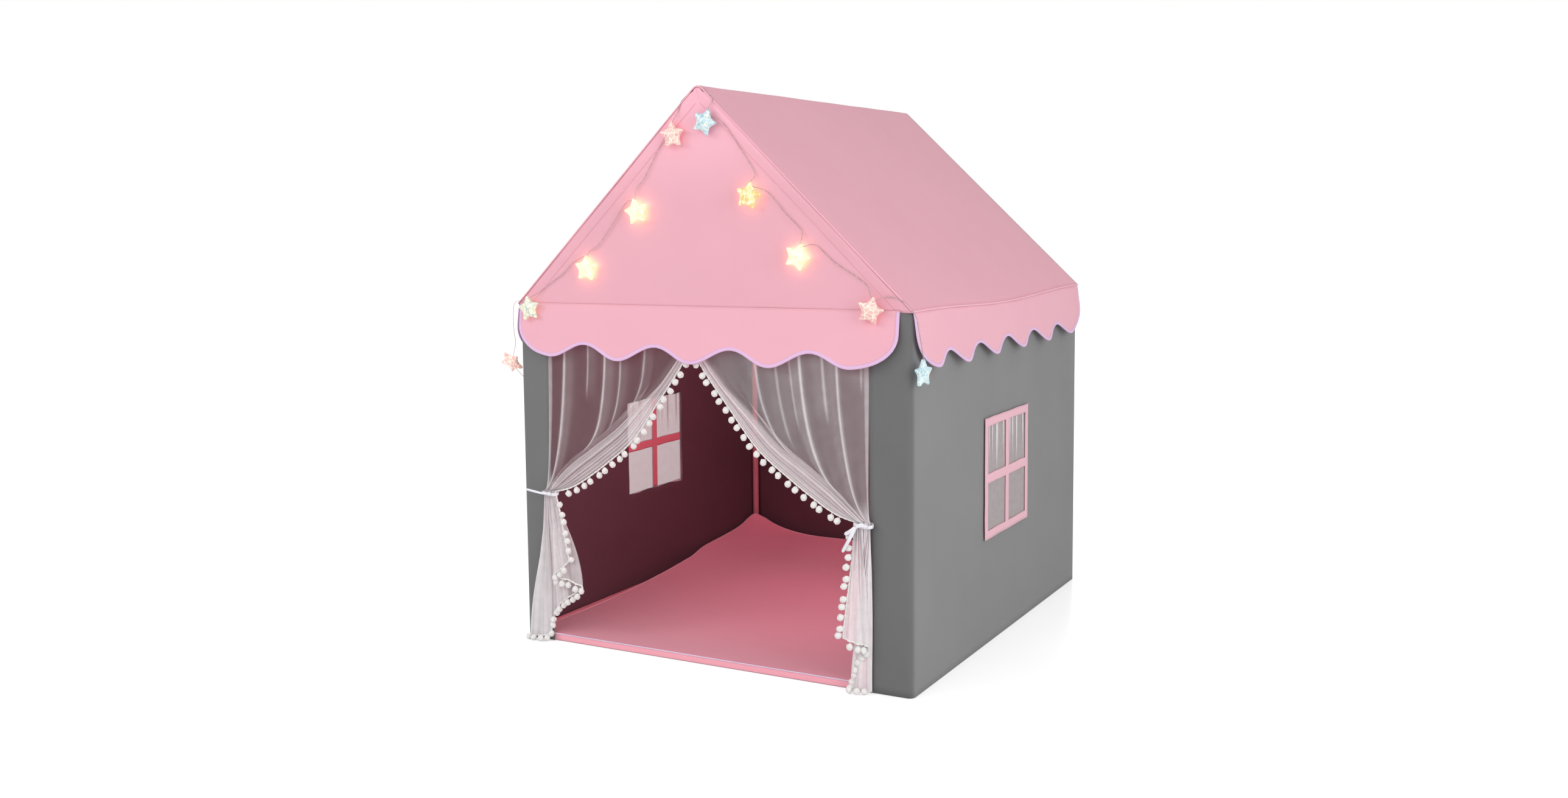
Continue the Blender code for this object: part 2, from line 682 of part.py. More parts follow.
def window_curtain(name, side):
    """A small curtain gathered along its top hem and fanned below."""
    top = WINDOW_Z + WINDOW_HEIGHT / 2
    columns = WINDOW_FOLDS * STEPS_PER_FOLD
    inside = HALF_WIDTH - CLOTH - CLEAR - WINDOW_CURTAIN_THICK / 2

    def place(u, v):
        depth = WINDOW_FOLD_DEPTH * v
        fold = depth * (1 - math.cos(2 * math.pi * WINDOW_FOLDS * u)) / 2
        across = WINDOW_Y + (u - 1 / 2) * (WINDOW_WIDTH - 2 * STRIP_LAP)
        return Vector((side * (inside - fold), across, top - WINDOW_CURTAIN_DROP * v))

    return sheet(name, columns, 1, place, WINDOW_CURTAIN_THICK, 0, SHEER_WHITE)


for side_name, side in SIDES:
    flat_piece(f"window_frame_{side_name}", window_outlines(), STRIP_THICK,
               side_plane(side, HALF_WIDTH + CLEAR + STRIP_THICK / 2), PALE_PINK)
    net = rounded_box(WINDOW_WIDTH - 2 * CLEAR, WINDOW_HEIGHT - 2 * CLEAR, WINDOW_ROUND - CLEAR,
                      CORNER_STEPS, (WINDOW_Y, WINDOW_Z))
    flat_piece(f"window_net_{side_name}", [net], MESH_THICK, side_plane(side, HALF_WIDTH - MESH_THICK / 2),
               NET_GREY)
    window_curtain(f"window_curtain_{side_name}", side)


# Door curtains: gathered from the seam to the tie, then falling open below it

TIE_RING_WIDTH = TIE_HALF_WIDTH + TIE_ROOM + CURTAIN_THICK + TIE_TAPE
TIE_RING_DEPTH = TIE_HALF_DEPTH + 2 * CURTAIN_THICK + TIE_TAPE
TIE_Y = FRONT + CLEAR - TIE_TAPE - TIE_RING_DEPTH
CURTAIN_Y = FRONT + CLOTH / 2
CURTAIN_ROWS = UPPER_ROWS + 1 + LOWER_ROWS


def curtain_sizes(side):
    """Where one curtain's jamb, meeting edge and tie are, and its falls' shapes."""
    strip = LEFT_STRIP if side < 0 else RIGHT_STRIP
    jamb = side * (HALF_WIDTH - strip - CLEAR)
    meet = MEET_X + side * MEET_GAP / 2
    tie = jamb - side * (TIE_HALF_WIDTH / 2 - CLEAR)
    if side < 0:
        falls = (LEFT_OUTER_FALL_SHARES, LEFT_OUTER_SPREAD, LEFT_INNER_FALL_SHARES, LEFT_INNER_SPREAD)
    else:
        falls = (RIGHT_OUTER_FALL_SHARES, RIGHT_OUTER_SPREAD, RIGHT_INNER_FALL_SHARES, RIGHT_INNER_SPREAD)
    return jamb, meet, tie, falls


def curtain_edges(side, v):
    """The outer and the free edge at share v down the curtain, the folds' depth, and Y."""
    jamb, meet, tie, falls = curtain_sizes(side)
    inward = -side
    top = SEAM_Z - CLEAR
    drop = top - TIE_HEIGHT - NECK
    row = round(v * CURTAIN_ROWS)
    if row <= UPPER_ROWS:
        share = row / UPPER_ROWS
        outer = Vector((jamb, top - drop * share)).lerp(
            Vector((tie - inward * TIE_HALF_WIDTH, top - drop)), share ** 6)
        across, down = on_curve(FREE_EDGE_SHARES + ((TIE_HALF_WIDTH / abs(meet - tie), 1.0),), share)
        free = Vector((tie + (meet - tie) * across, top - drop * down))
        depth = TOP_FOLD_DEPTH + (MIDDLE_FOLD_DEPTH - TOP_FOLD_DEPTH) * min(share * 2, 1)
        depth += (TIE_HALF_DEPTH - MIDDLE_FOLD_DEPTH) * share ** 4
        return outer, free, depth, CURTAIN_Y + (TIE_Y - CURTAIN_Y) * share ** 3
    share = (row - UPPER_ROWS - 1) / LOWER_ROWS
    outer_spread, outer_down = on_curve(falls[0], share)
    free_spread, free_down = on_curve(falls[2], share)
    fall = TIE_HEIGHT - NECK
    outer = Vector((tie - inward * (TIE_HALF_WIDTH + falls[1] * outer_spread), fall * (1 - outer_down)))
    free = Vector((tie + inward * (TIE_HALF_WIDTH + falls[3] * free_spread), fall * (1 - free_down)))
    depth = TIE_HALF_DEPTH + (HEM_FOLD_DEPTH - TIE_HALF_DEPTH) * max(share, 0)
    return outer, free, depth, TIE_Y


def curtain_place(side, u, v):
    """A point of the curtain's middle surface."""
    outer, free, depth, y = curtain_edges(side, v)
    across, up = outer.lerp(free, u)
    fold = depth * math.sin(math.pi * u) * math.cos(2 * math.pi * CURTAIN_FOLDS * u)
    return Vector((across, y + fold, up))


def offset_line(points, outward, distance):
    """A line beside a curtain edge, on the side that outward points to, mitred at its bends."""
    normals = []
    for start, end in zip(points, points[1:]):
        run = end - start
        across = Vector((run.z, 0, -run.x)).normalized()
        normals.append(across if across.dot(outward) > 0 else -across)
    result = []
    for index, point in enumerate(points):
        before = normals[max(index - 1, 0)]
        after = normals[min(index, len(normals) - 1)]
        middle = (before + after).normalized()
        result.append(point + middle * distance / max(middle.dot(after), 1 / 2))
    return result


def trim_lines(side):
    """The trim tape's line: down the free edge from just above the valance, then along the hem."""
    stand = CURTAIN_THICK / 2 + CLEAR + TRIM_RADIUS
    inward = Vector((-side, 0, -1)).normalized()
    edge = [curtain_place(side, 1, row / CURTAIN_ROWS) for row in range(CURTAIN_ROWS + 1)]
    edge = [point for point in edge if point.z < VALANCE_LOW + SCALLOP_DEPTH]
    columns = CURTAIN_FOLDS * STEPS_PER_FOLD
    hem = [curtain_place(side, 1 - column / columns, 1) for column in range(columns)]
    down_edge = offset_line(edge, inward, stand)
    along_hem = offset_line(hem, Vector((0, 0, -1)), stand)
    return down_edge, along_hem


def pompom(bm, start, direction):
    """One pom-pom drawn up to a point where its thread starts."""
    turn = Vector((0, 0, 1)).rotation_difference(-direction).to_matrix().to_4x4()
    middle = start + direction * (POMPOM_THREAD + POMPOM_RADIUS)
    made = bmesh.ops.create_uvsphere(bm, u_segments=POMPOM_SIDES, v_segments=POMPOM_RINGS,
                                     radius=POMPOM_RADIUS, matrix=Matrix.Translation(middle) @ turn)
    nearest = min(made["verts"], key=lambda vert: (vert.co - start).length)
    nearest.co = start


def add_pompoms(bm, side, down_edge, along_hem):
    """Hang pom-poms off the trim tape, clear of the tie and of the floor."""
    tie = Vector((curtain_sizes(side)[2], TIE_Y, TIE_HEIGHT))
    reach = POMPOM_THREAD + POMPOM_RADIUS
    upper = [point for point in down_edge if point.z > TIE_HEIGHT]
    lower = [point for point in down_edge if point.z < TIE_HEIGHT]
    for line in (upper, lower):
        for point in even_points(line, POMPOM_PITCH):
            if (point - tie).length > TIE_KEEP_CLEAR and point.z < VALANCE_LOW:
                away = Vector((-side, 0, -1)).normalized() if line is upper else Vector((-side, 0, 0))
                pompom(bm, point, away)
    floor = POMPOM_RADIUS + HEM_LIFT
    for point in even_points(along_hem, POMPOM_PITCH):
        if point.z - reach > floor:
            pompom(bm, point, Vector((0, 0, -1)))
        else:
            lift = min(max((floor - point.z) / reach, 0), 1)
            pompom(bm, point, Vector((0, -math.sqrt(1 - lift * lift), lift)))


def ribbon_tail(bm, start, direction):
    """A flat ribbon end that hangs from a point, facing the front."""
    flat = Vector((0, 1, 0))
    side = direction.cross(flat).normalized()
    turn = Matrix((side, flat, -direction)).transposed().to_4x4()
    size = Matrix.Diagonal((TAIL_WIDTH, TAIL_THICK, TAIL_LENGTH, 1))
    matrix = Matrix.Translation(start + direction * TAIL_LENGTH / 2) @ turn @ size
    bmesh.ops.create_cube(bm, size=1, matrix=matrix)


def tie_ring(side):
    """The ribbon loop round the gathered curtain, with its hanging ends."""
    tie = curtain_sizes(side)[2]
    steps = 2 * POLE_SIDES
    points = []
    for step in range(steps):
        angle = 2 * math.pi * step / steps
        x = tie + TIE_RING_WIDTH * math.cos(angle)
        points.append((x, TIE_Y + TIE_RING_DEPTH * math.sin(angle), TIE_HEIGHT))
    name = "curtain_tie_left" if side < 0 else "curtain_tie_right"
    ring = as_mesh(tube(name, points, TIE_TAPE, 1, None, cyclic=True), RIBBON_WHITE)
    leans = TAIL_LEANS[side]
    for number, lean in enumerate(leans):
        tail = bmesh.new()
        start = Vector((tie, TIE_Y - TIE_RING_DEPTH - TIE_TAPE / 2, TIE_HEIGHT))
        ribbon_tail(tail, start, Vector((math.sin(lean), 0, -math.cos(lean))))
        boolean(ring, cutter_object(f"{name}_tail_{number}", tail), "UNION")
    return ring


for side_name, side in SIDES:
    sheet(f"door_curtain_{side_name}", CURTAIN_FOLDS * STEPS_PER_FOLD, CURTAIN_ROWS,
          lambda u, v, side=side: curtain_place(side, u, v), CURTAIN_THICK, 0, SHEER_WHITE, even=False)
    down_edge, along_hem = trim_lines(side)
    trim_line = down_edge + along_hem
    trim = as_mesh(tube(f"pompom_trim_{side_name}", trim_line, TRIM_RADIUS, 0, None), POMPOM_WHITE)
    balls = bmesh.new()
    add_pompoms(balls, side, down_edge, along_hem)
    boolean(trim, cutter_object(f"pompoms_{side_name}", balls), "UNION")
    tie_ring(side)


# Floor mat: flat in the doorway, its edges riding up the walls towards the back


def smooth(share):
    """A smooth step from 0 to 1."""
    share = min(max(share, 0), 1)
    return share * share * (3 - 2 * share)


MAT_HALF_WIDTH = POST_X - POLE_RADIUS - MAT_EDGE_GAP
MAT_BACK = POST_Y - POLE_RADIUS - MAT_EDGE_GAP
MAT_FRONT = FRONT + CLOTH + CLEAR


def mat_place(u, v):
    """A point of the mat's underside."""
    columns = len(MAT_COLUMN_SHARES) - 1
    rows = len(MAT_ROW_SHARES) - 1
    across = 2 * MAT_COLUMN_SHARES[round(u * columns)] - 1
    y = MAT_FRONT + (MAT_BACK - MAT_FRONT) * MAT_ROW_SHARES[round(v * rows)]
    half = MAT_HALF_WIDTH
    if y + POST_Y < SOCKET_REACH:
        half -= HUB_RADIUS - POLE_RADIUS
    half += MAT_WIDEN * smooth((y - HALF_DEPTH / 4) / (HALF_DEPTH / 5))
    back_gap = MAT_BACK - y
    if back_gap < MAT_CORNER:
        half -= MAT_CORNER - math.sqrt(max(MAT_CORNER ** 2 - (MAT_CORNER - back_gap) ** 2, 0))
    x = half * across
    side_near = smooth(1 - (half - abs(x)) / MAT_CURL)
    back_near = smooth(1 - back_gap / MAT_CURL)
    rise = MAT_RISE * max(side_near * smooth((y + HALF_DEPTH / 2) / HALF_DEPTH), back_near)
    rise += MAT_RISE * side_near * smooth(y / HALF_DEPTH)
    rise += MAT_CORNER_RISE * side_near * back_near
    return Vector((x, y, rise))


mat_columns = len(MAT_COLUMN_SHARES) - 1
mat = sheet("floor_mat", mat_columns, len(MAT_ROW_SHARES) - 1, mat_place, MAT_THICK, 1, MAT_PINK)
rounding = mat.modifiers.new("rounding", "BEVEL")
rounding.width = MAT_BEVEL
rounding.segments = 1
rounding.limit_method = "ANGLE"
rounding.angle_limit = math.pi / 3


# Star lamps and their wire


def star(name, middle, turn, facing, lean=0):
    """A puffy five-armed star: a cone pair whose rim is drawn out to tips and valleys."""
    bm = bmesh.new()
    points = 2 * STAR_ARMS
    made = bmesh.ops.create_cone(
        bm, cap_ends=True, cap_tris=True, segments=points, radius1=1, radius2=1, depth=2)
    for vert in made["verts"]:
        flat = Vector((vert.co.x, vert.co.y))
        if flat.length < 1 / 2:
            vert.co = (0, 0, math.copysign(STAR_HALF_THICK, vert.co.z))
            continue
        index = round(math.atan2(-flat.x, flat.y) / (2 * math.pi) * points)
        reach = STAR_TIP if index % 2 == 0 else STAR_VALLEY
        angle = index * 2 * math.pi / points
        vert.co = (-reach * math.sin(angle), reach * math.cos(angle), math.copysign(STAR_RIM, vert.co.z))
    place = Matrix.Translation(middle) @ Matrix.Rotation(facing, 4, "Z") @ UPRIGHT_FRONT
    place = place @ Matrix.Rotation(lean, 4, "X") @ Matrix.Rotation(turn, 4, "Z")
    bm.transform(place)
    return cutter_object(name, bm)


def star_tip(middle, turn):
    """A point just inside the upper tip of a star that faces the front."""
    reach = STAR_TIP - TIP_SINK
    return Vector((middle.x - reach * math.sin(turn), middle.y, middle.z + reach * math.cos(turn)))


def ridge_crossing():
    """The wire's way from the front of the gable over the ridge and back, close to the cloth."""
    radius = FRAME_INSET + WIRE_RADIUS + WIRE_STAND
    points = []
    for turn, along, back in RIDGE_CROSSING:
        angle = math.radians(turn)
        x = -radius * math.sin(angle)
        z = RIDGE_Z + radius * math.cos(angle)
        slope = Vector((-math.copysign(math.cos(PITCH), turn), 0, -math.sin(PITCH)))
        points.append(Vector((x, FRONT + back, z)) + slope * along)
    return points


def corner_point(side, offsets):
    """A point given outward and backward from a front corner, and down from the eave."""
    outward, backward, down = offsets
    return Vector((side * (HALF_WIDTH + outward), FRONT + backward, EAVE_HEIGHT - down))


wire_y = FRONT - WIRE_STAND - WIRE_RADIUS
CASE_Y = FRONT + CASE_FROM_FRONT
CASE_MIDDLE_X = -HALF_WIDTH - CLEAR - CASE_DEPTH / 2
case_exit = Vector((CASE_MIDDLE_X, CASE_Y - CASE_LENGTH / 2 - CLEAR, CASE_Z))
route = [case_exit] + [corner_point(-1, offsets) for offsets in LEFT_END]
stars = [star("star_first", corner_point(-1, LEFT_END_STAR), math.radians(90), 0, LEFT_STAR_LEAN)]
for across, up, kind, degrees in GABLE_RUN_SHARES:
    turn = math.radians(degrees)
    place = Vector((across * HALF_WIDTH, wire_y, up * APEX_HEIGHT))
    if kind == "wire":
        route.append(place)
        continue
    if kind == "over the ridge":
        route += ridge_crossing()
        continue
    stand = VALANCE_STAND if kind == "eave star" else STAR_STAND
    place.y = FRONT - stand - STAR_HALF_THICK
    stars.append(star(f"star_{len(stars)}", place, turn, 0))
    route.append(star_tip(place, turn))
route += [corner_point(1, offsets) for offsets in RIGHT_END]
stars.append(star("star_last", corner_point(1, RIGHT_END_STAR), 0, math.pi / 2))
wire_steps = STEPS_BETWEEN * (len(route) - 1)
route = [curve_point(route, step / STEPS_BETWEEN) for step in range(wire_steps + 1)]
for point in route:
    if abs(point.x) < HALF_WIDTH and point.z < RIDGE_Z - FRAME_INSET - WIRE_STAND:
        point.y = min(point.y, wire_y)
light_string = as_mesh(tube("light_string", route, WIRE_RADIUS, 2, None), LAMP_WHITE)
for lamp in stars:
    boolean(light_string, lamp, "UNION")


# Battery case on the left wall, its sliding cover, cells, contacts and switch

CASE_BACK = -HALF_WIDTH - CLEAR
CASE_FRONT = CASE_BACK - CASE_DEPTH
CASE_LOW_Y = CASE_Y - CASE_LENGTH / 2
CASE_HIGH_Y = CASE_Y + CASE_LENGTH / 2
CASE_LOW_Z = CASE_Z - CASE_HEIGHT / 2
CASE_HIGH_Z = CASE_Z + CASE_HEIGHT / 2
CELL_TOTAL = CELL_LENGTH + CELL_NUB_LENGTH
BAY_LENGTH = CELL_TOTAL + 2 * (CONTACT_THICK + 2 * CLEAR)
BAY_LOW_Y = CASE_HIGH_Y - CASE_WALL - BAY_LENGTH
BAY_HIGH_Y = CASE_HIGH_Y - CASE_WALL
COVER_BACK = CASE_FRONT + CASE_WALL + COVER_THICK

case = bmesh.new()
add_box(case, (CASE_FRONT, CASE_LOW_Y, CASE_LOW_Z), (CASE_BACK, CASE_HIGH_Y, CASE_HIGH_Z))
battery_case = mesh_object("battery_case", case, CASE_WHITE)
case_rounding = battery_case.modifiers.new("rounding", "BEVEL")
case_rounding.width = CASE_ROUND
case_rounding.segments = 2
bay = bmesh.new()
add_box(bay, (CASE_FRONT - OVERRUN, BAY_LOW_Y, CASE_LOW_Z + CASE_WALL),
        (CASE_BACK - CASE_WALL, BAY_HIGH_Y, CASE_HIGH_Z - CASE_WALL))
boolean(battery_case, cutter_object("bay_cutter", bay), "DIFFERENCE")
groove = bmesh.new()
add_box(groove, (COVER_BACK - COVER_THICK - CLEAR, BAY_LOW_Y, CASE_LOW_Z + CASE_WALL - GROOVE_DEPTH - CLEAR),
        (COVER_BACK + CLEAR, CASE_HIGH_Y + OVERRUN, CASE_HIGH_Z - CASE_WALL + GROOVE_DEPTH + CLEAR))
boolean(battery_case, cutter_object("groove_cutter", groove), "DIFFERENCE")
lip = bmesh.new()
add_box(lip, (CASE_FRONT - OVERRUN, BAY_HIGH_Y - OVERRUN, CASE_LOW_Z + CASE_WALL),
        (COVER_BACK - COVER_THICK, CASE_HIGH_Y + OVERRUN, CASE_HIGH_Z - CASE_WALL))
boolean(battery_case, cutter_object("lip_cutter", lip), "DIFFERENCE")
slot_y = (CASE_LOW_Y + BAY_LOW_Y) / 2
slot = bmesh.new()
add_box(slot, (CASE_FRONT - OVERRUN, slot_y - SLOT_HEIGHT / 2, CASE_Z - SLOT_LENGTH / 2),
        (CASE_FRONT + SLOT_DEPTH, slot_y + SLOT_HEIGHT / 2, CASE_Z + SLOT_LENGTH / 2))
boolean(battery_case, cutter_object("slot_cutter", slot), "DIFFERENCE")

slider = bmesh.new()
slider_low = CASE_Z - SLOT_LENGTH / 2 + CLEAR
add_box(slider, (-SLIDER_PROUD - SLOT_DEPTH, -SLOT_HEIGHT / 2 + CLEAR, 0),
        (-CLEAR, SLOT_HEIGHT / 2 - CLEAR, SLIDER_LENGTH))
switch_slider = mesh_object("switch_slider", slider, CONNECTOR_WHITE)
switch_slider.location = (CASE_FRONT + SLOT_DEPTH, slot_y, slider_low)

lid = bmesh.new()
cover_low = BAY_LOW_Y + CLEAR
add_box(lid, (-COVER_THICK, 0, CASE_LOW_Z + CASE_WALL - GROOVE_DEPTH - CASE_Z),
        (0, CASE_HIGH_Y - cover_low, CASE_HIGH_Z - CASE_WALL + GROOVE_DEPTH - CASE_Z))
battery_cover = mesh_object("battery_cover", lid, CASE_WHITE)
battery_cover.location = (COVER_BACK, cover_low, CASE_Z)
for number in range(RIB_COUNT):
    rib = bmesh.new()
    rib_y = CASE_HIGH_Y - cover_low - RIB_PITCH * (number + 1)
    add_box(rib, (-COVER_THICK - RIB_HEIGHT, rib_y - RIB_WIDTH / 2, -CASE_HEIGHT / 4),
            (-COVER_THICK / 2, rib_y + RIB_WIDTH / 2, CASE_HEIGHT / 4))
    rib_object = cutter_object(f"cover_rib_{number}", rib)
    rib_object.location = battery_cover.location
    boolean(battery_cover, rib_object, "UNION")

cell_x = CASE_BACK - CASE_WALL - CLEAR - CELL_RADIUS
cell_start = BAY_LOW_Y + CONTACT_THICK + 2 * CLEAR
along = Vector((0, 1, 0))
for cell_name, up in (("lower", -1), ("upper", 1)):
    cell_z = CASE_Z + up * (CELL_RADIUS + CLEAR)
    start = Vector((cell_x, cell_start, cell_z))
    bm = bmesh.new()
    add_cylinder(bm, start, along, CELL_LENGTH, CELL_RADIUS, POLE_SIDES)
    cell = mesh_object(f"battery_{cell_name}", bm, CELL_GREEN)
    bm = bmesh.new()
    nub_start = start + along * CELL_LENGTH / 2
    add_cylinder(bm, nub_start, along, CELL_TOTAL - CELL_LENGTH / 2, CELL_NUB_RADIUS, POLE_SIDES)
    boolean(cell, cutter_object(f"nub_{cell_name}", bm), "UNION")
    bm = bmesh.new()
    plate_y = BAY_HIGH_Y - CLEAR - CONTACT_THICK
    add_box(bm, (cell_x - CONTACT_HEIGHT / 2, plate_y, cell_z - CONTACT_HEIGHT / 2),
            (cell_x + CONTACT_HEIGHT / 2, plate_y + CONTACT_THICK, cell_z + CONTACT_HEIGHT / 2))
    mesh_object(f"terminal_{cell_name}", bm, CONTACT_METAL)
bm = bmesh.new()
bridge_half = CELL_RADIUS + CONTACT_HEIGHT / 2
add_box(bm, (cell_x - CONTACT_HEIGHT / 2, BAY_LOW_Y + CLEAR, CASE_Z - bridge_half),
        (cell_x + CONTACT_HEIGHT / 2, BAY_LOW_Y + CLEAR + CONTACT_THICK, CASE_Z + bridge_half))
mesh_object("cell_bridge", bm, CONTACT_METAL)

for piece in PARTS.objects:
    if piece.type == "MESH":
        piece.data.set_sharp_from_angle(angle=math.pi / 6)
print("pieces:", len(PARTS.objects), "ridge top:", round(RIDGE_TOP, 4))
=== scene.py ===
# %% [markdown]
# # A play tent, dressed piece by piece
# The tent is a frame of plastic poles in moulded connectors under a sewn cover: a pink roof,
# paler gables and scalloped valances, grey walls with windows, sheer door curtains, a padded
# mat and a string of star lights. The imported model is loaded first, because every piece made
# here has to sit where it says. Cloth is what the eye meets, so each cloth solid is replaced
# by a thin sheet with its own weave, while the poles and the battery case keep their shape.

# %% Load the frame
import math

import bpy
from mathutils import Matrix, Vector, noise


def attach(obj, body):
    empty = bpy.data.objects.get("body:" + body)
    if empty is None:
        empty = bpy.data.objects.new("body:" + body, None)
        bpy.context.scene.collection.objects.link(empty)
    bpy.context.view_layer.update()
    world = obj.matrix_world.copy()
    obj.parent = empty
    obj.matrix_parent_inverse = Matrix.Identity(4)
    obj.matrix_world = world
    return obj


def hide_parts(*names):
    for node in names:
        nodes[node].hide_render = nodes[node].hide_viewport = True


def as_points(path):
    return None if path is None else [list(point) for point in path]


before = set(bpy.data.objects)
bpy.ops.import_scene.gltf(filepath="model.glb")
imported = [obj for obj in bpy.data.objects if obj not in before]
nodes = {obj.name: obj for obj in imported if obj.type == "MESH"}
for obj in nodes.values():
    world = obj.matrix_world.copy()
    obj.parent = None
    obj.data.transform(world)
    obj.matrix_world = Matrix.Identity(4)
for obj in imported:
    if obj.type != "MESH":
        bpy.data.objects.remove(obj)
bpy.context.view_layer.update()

# %% [markdown]
# A few sizes are shared by nearly every piece: half the plan, the heights of the eave and of
# the ridge, and the round of the cloth over the poles. They are written once, in metres, and
# what else is needed is worked out from them, so that neighbours meet. Each side and each end
# of the tent has a name and a sign, so that one function makes both of what comes in pairs.

# %% Sizes of the tent
HALF_WIDTH = 0.525
HALF_DEPTH = 0.605
FRONT = -HALF_DEPTH
EAVE = 0.850
APEX = 1.358
SEAM = 0.846
EAVE_SAG = 0.012
POLE_ROUND = 0.01515
POST_X = 0.50985
POST_Y = 0.58985
RIDGE = 1.33692
SAG_HALF = 0.52785
PITCH = math.atan2(APEX - EAVE, HALF_WIDTH)
CLOTH = 0.0014
SIDES = (("left", -1), ("right", 1))
ENDS = (("front", -1), ("back", 1))
print("roof pitch in degrees:", round(math.degrees(PITCH), 1))


# %% [markdown]
# The camera comes first, because the string of lights has to be checked against its view.
# Its place, its axes and its lens were found from the tent's own corners in the photograph:
# it stands low and to the right of the door. A small shift frames the tent as it is framed there.

# %% Camera
camera_data = bpy.data.cameras.new("camera")
camera_data.sensor_width = 36
camera_data.lens = 33.62
camera_data.shift_x = 0.0519
camera_data.shift_y = -0.0257
camera = bpy.data.objects.new("camera", camera_data)
bpy.context.scene.collection.objects.link(camera)
camera.matrix_world = Matrix((
    (0.86152, -0.03736, 0.50635, 1.72128),
    (0.50752, 0.09165, -0.85675, -3.51069),
    (-0.01440, 0.99509, 0.09792, 1.06130),
    (0, 0, 0, 1)))
bpy.context.scene.camera = camera
print("camera:", [round(c, 2) for c in camera.location])


# %% [markdown]
# Four small helpers do what a hand does in the viewport. One leaves edit mode and drops the
# selection, one picks a single object, one adds a primitive and names it, and one opens edit
# mode with only the wanted vertices, edges or faces picked by their place. Operators act on
# all that is selected, so each step starts from a clean selection.

# %% Selecting as by hand
def put_down():
    """Leave edit mode and select nothing."""
    if bpy.context.object and bpy.context.object.mode != "OBJECT":
        bpy.ops.object.mode_set(mode="OBJECT")
    bpy.ops.object.select_all(action="DESELECT")


def take(piece):
    """Make one object the selected and active one."""
    put_down()
    piece.select_set(True)
    bpy.context.view_layer.objects.active = piece


def added(operator, name, **options):
    """Add a primitive with nothing else selected, and name it and its data."""
    put_down()
    operator(**options)
    piece = bpy.context.object
    piece.name = piece.data.name = name
    return piece


def edit(piece, kind="FACE", wanted=None):
    """Open edit mode with the vertices, edges or faces selected whose middle passes the test."""
    take(piece)
    bpy.ops.object.mode_set(mode="EDIT")
    bpy.ops.mesh.select_mode(type=kind)
    bpy.ops.mesh.select_all(action="SELECT" if wanted is None else "DESELECT")
    if wanted is None:
        return
    bpy.ops.object.mode_set(mode="OBJECT")
    mesh = piece.data
    if kind == "VERT":
        for vert in mesh.vertices:
            vert.select = wanted(vert.co)
    elif kind == "EDGE":
        for edge in mesh.edges:
            first, second = (mesh.vertices[i].co for i in edge.vertices)
            edge.select = wanted((first + second) / 2)
    else:
        for face in mesh.polygons:
            face.select = wanted(face.center)
    bpy.ops.object.mode_set(mode="EDIT")


# %% Finishing modifiers
def apply_all(piece):
    """Apply every modifier of a piece."""
    take(piece)
    for modifier in list(piece.modifiers):
        bpy.ops.object.modifier_apply(modifier=modifier.name)
    return piece


def thicken(piece, thickness=CLOTH, offset=0.0, inner=0):
    """Give a cloth its thickness; inner is the material slot of its other face."""
    wall = piece.modifiers.new("thickness", "SOLIDIFY")
    wall.thickness = thickness
    wall.offset = offset
    wall.material_offset = inner
    return apply_all(piece)


def soften(piece, angle=40):
    """Shade smoothly, but keep folds sharper than the angle."""
    take(piece)
    bpy.ops.object.shade_smooth_by_angle(angle=math.radians(angle))
    return piece


def rest(piece, body, *replaced, slot=None):
    """Fix a finished piece to its body, in place of the solids that it stands for."""
    for node in replaced:
        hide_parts(node)
    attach(piece, body)
    return piece


print("cloth thickness:", CLOTH)


# %% [markdown]
# Materials are small node trees. Writing one by hand means making a node, setting some of its
# sockets and joining others, so one helper does these three things in one line. A few more
# give what most finishes need: a noise, a value kept on the points, colours along a factor,
# and a colour and a bump joined to the shader. A number that is the same all over a surface
# goes straight onto the shader's own socket.

# %% Node helper
def add(tree, kind, settings=None, **sockets):
    """Add a node; a socket's name has _ for each space, and its value is a number or an output."""
    made = tree.nodes.new("ShaderNode" + kind)
    for key, value in (settings or {}).items():
        setattr(made, key, value)
    for key, value in sockets.items():
        socket = made.inputs[key.replace("_", " ")]
        if isinstance(value, bpy.types.NodeSocket):
            tree.links.new(value, socket)
        else:
            socket.default_value = value
    return made


def blank(name, roughness, **constants):
    """A new material with its Principled shader and the constants set on it."""
    made = bpy.data.materials.new(name)
    made.use_nodes = True
    tree = made.node_tree
    shader = tree.nodes["Principled BSDF"]
    shader.inputs["Roughness"].default_value = roughness
    for key, value in constants.items():
        shader.inputs[key.replace("_", " ")].default_value = value
    return made, tree, shader


def math_node(tree, operation, first, second=0.0):
    """One sum on two values or outputs."""
    made = tree.nodes.new("ShaderNodeMath")
    made.operation = operation
    for socket, value in zip(made.inputs, (first, second)):
        if isinstance(value, bpy.types.NodeSocket):
            tree.links.new(value, socket)
        else:
            socket.default_value = value
    return made.outputs[0]


print("materials so far:", len(bpy.data.materials))


# %% Noises, kept values and tones
def speckle(tree, place, scale, detail=2.0, roughness=0.5):
    """The value of a noise at each place."""
    made = add(tree, "TexNoise", Vector=place, Scale=scale, Detail=detail, Roughness=roughness)
    return made.outputs["Fac"]


def marked(tree, name):
    """The value that the points of a piece keep under a name."""
    return add(tree, "Attribute", {"attribute_name": name}).outputs["Fac"]


def dress(tree, shader, colour, height=None, distance=0.0, strength=0.0, **under):
    """Join a colour to the shader, and a bump made from a height; under is the Normal below it."""
    tree.links.new(colour, shader.inputs["Base Color"])
    if height is not None:
        bump = add(tree, "Bump", Height=height, Distance=distance, Strength=strength, **under)
        tree.links.new(bump.outputs["Normal"], shader.inputs["Normal"])


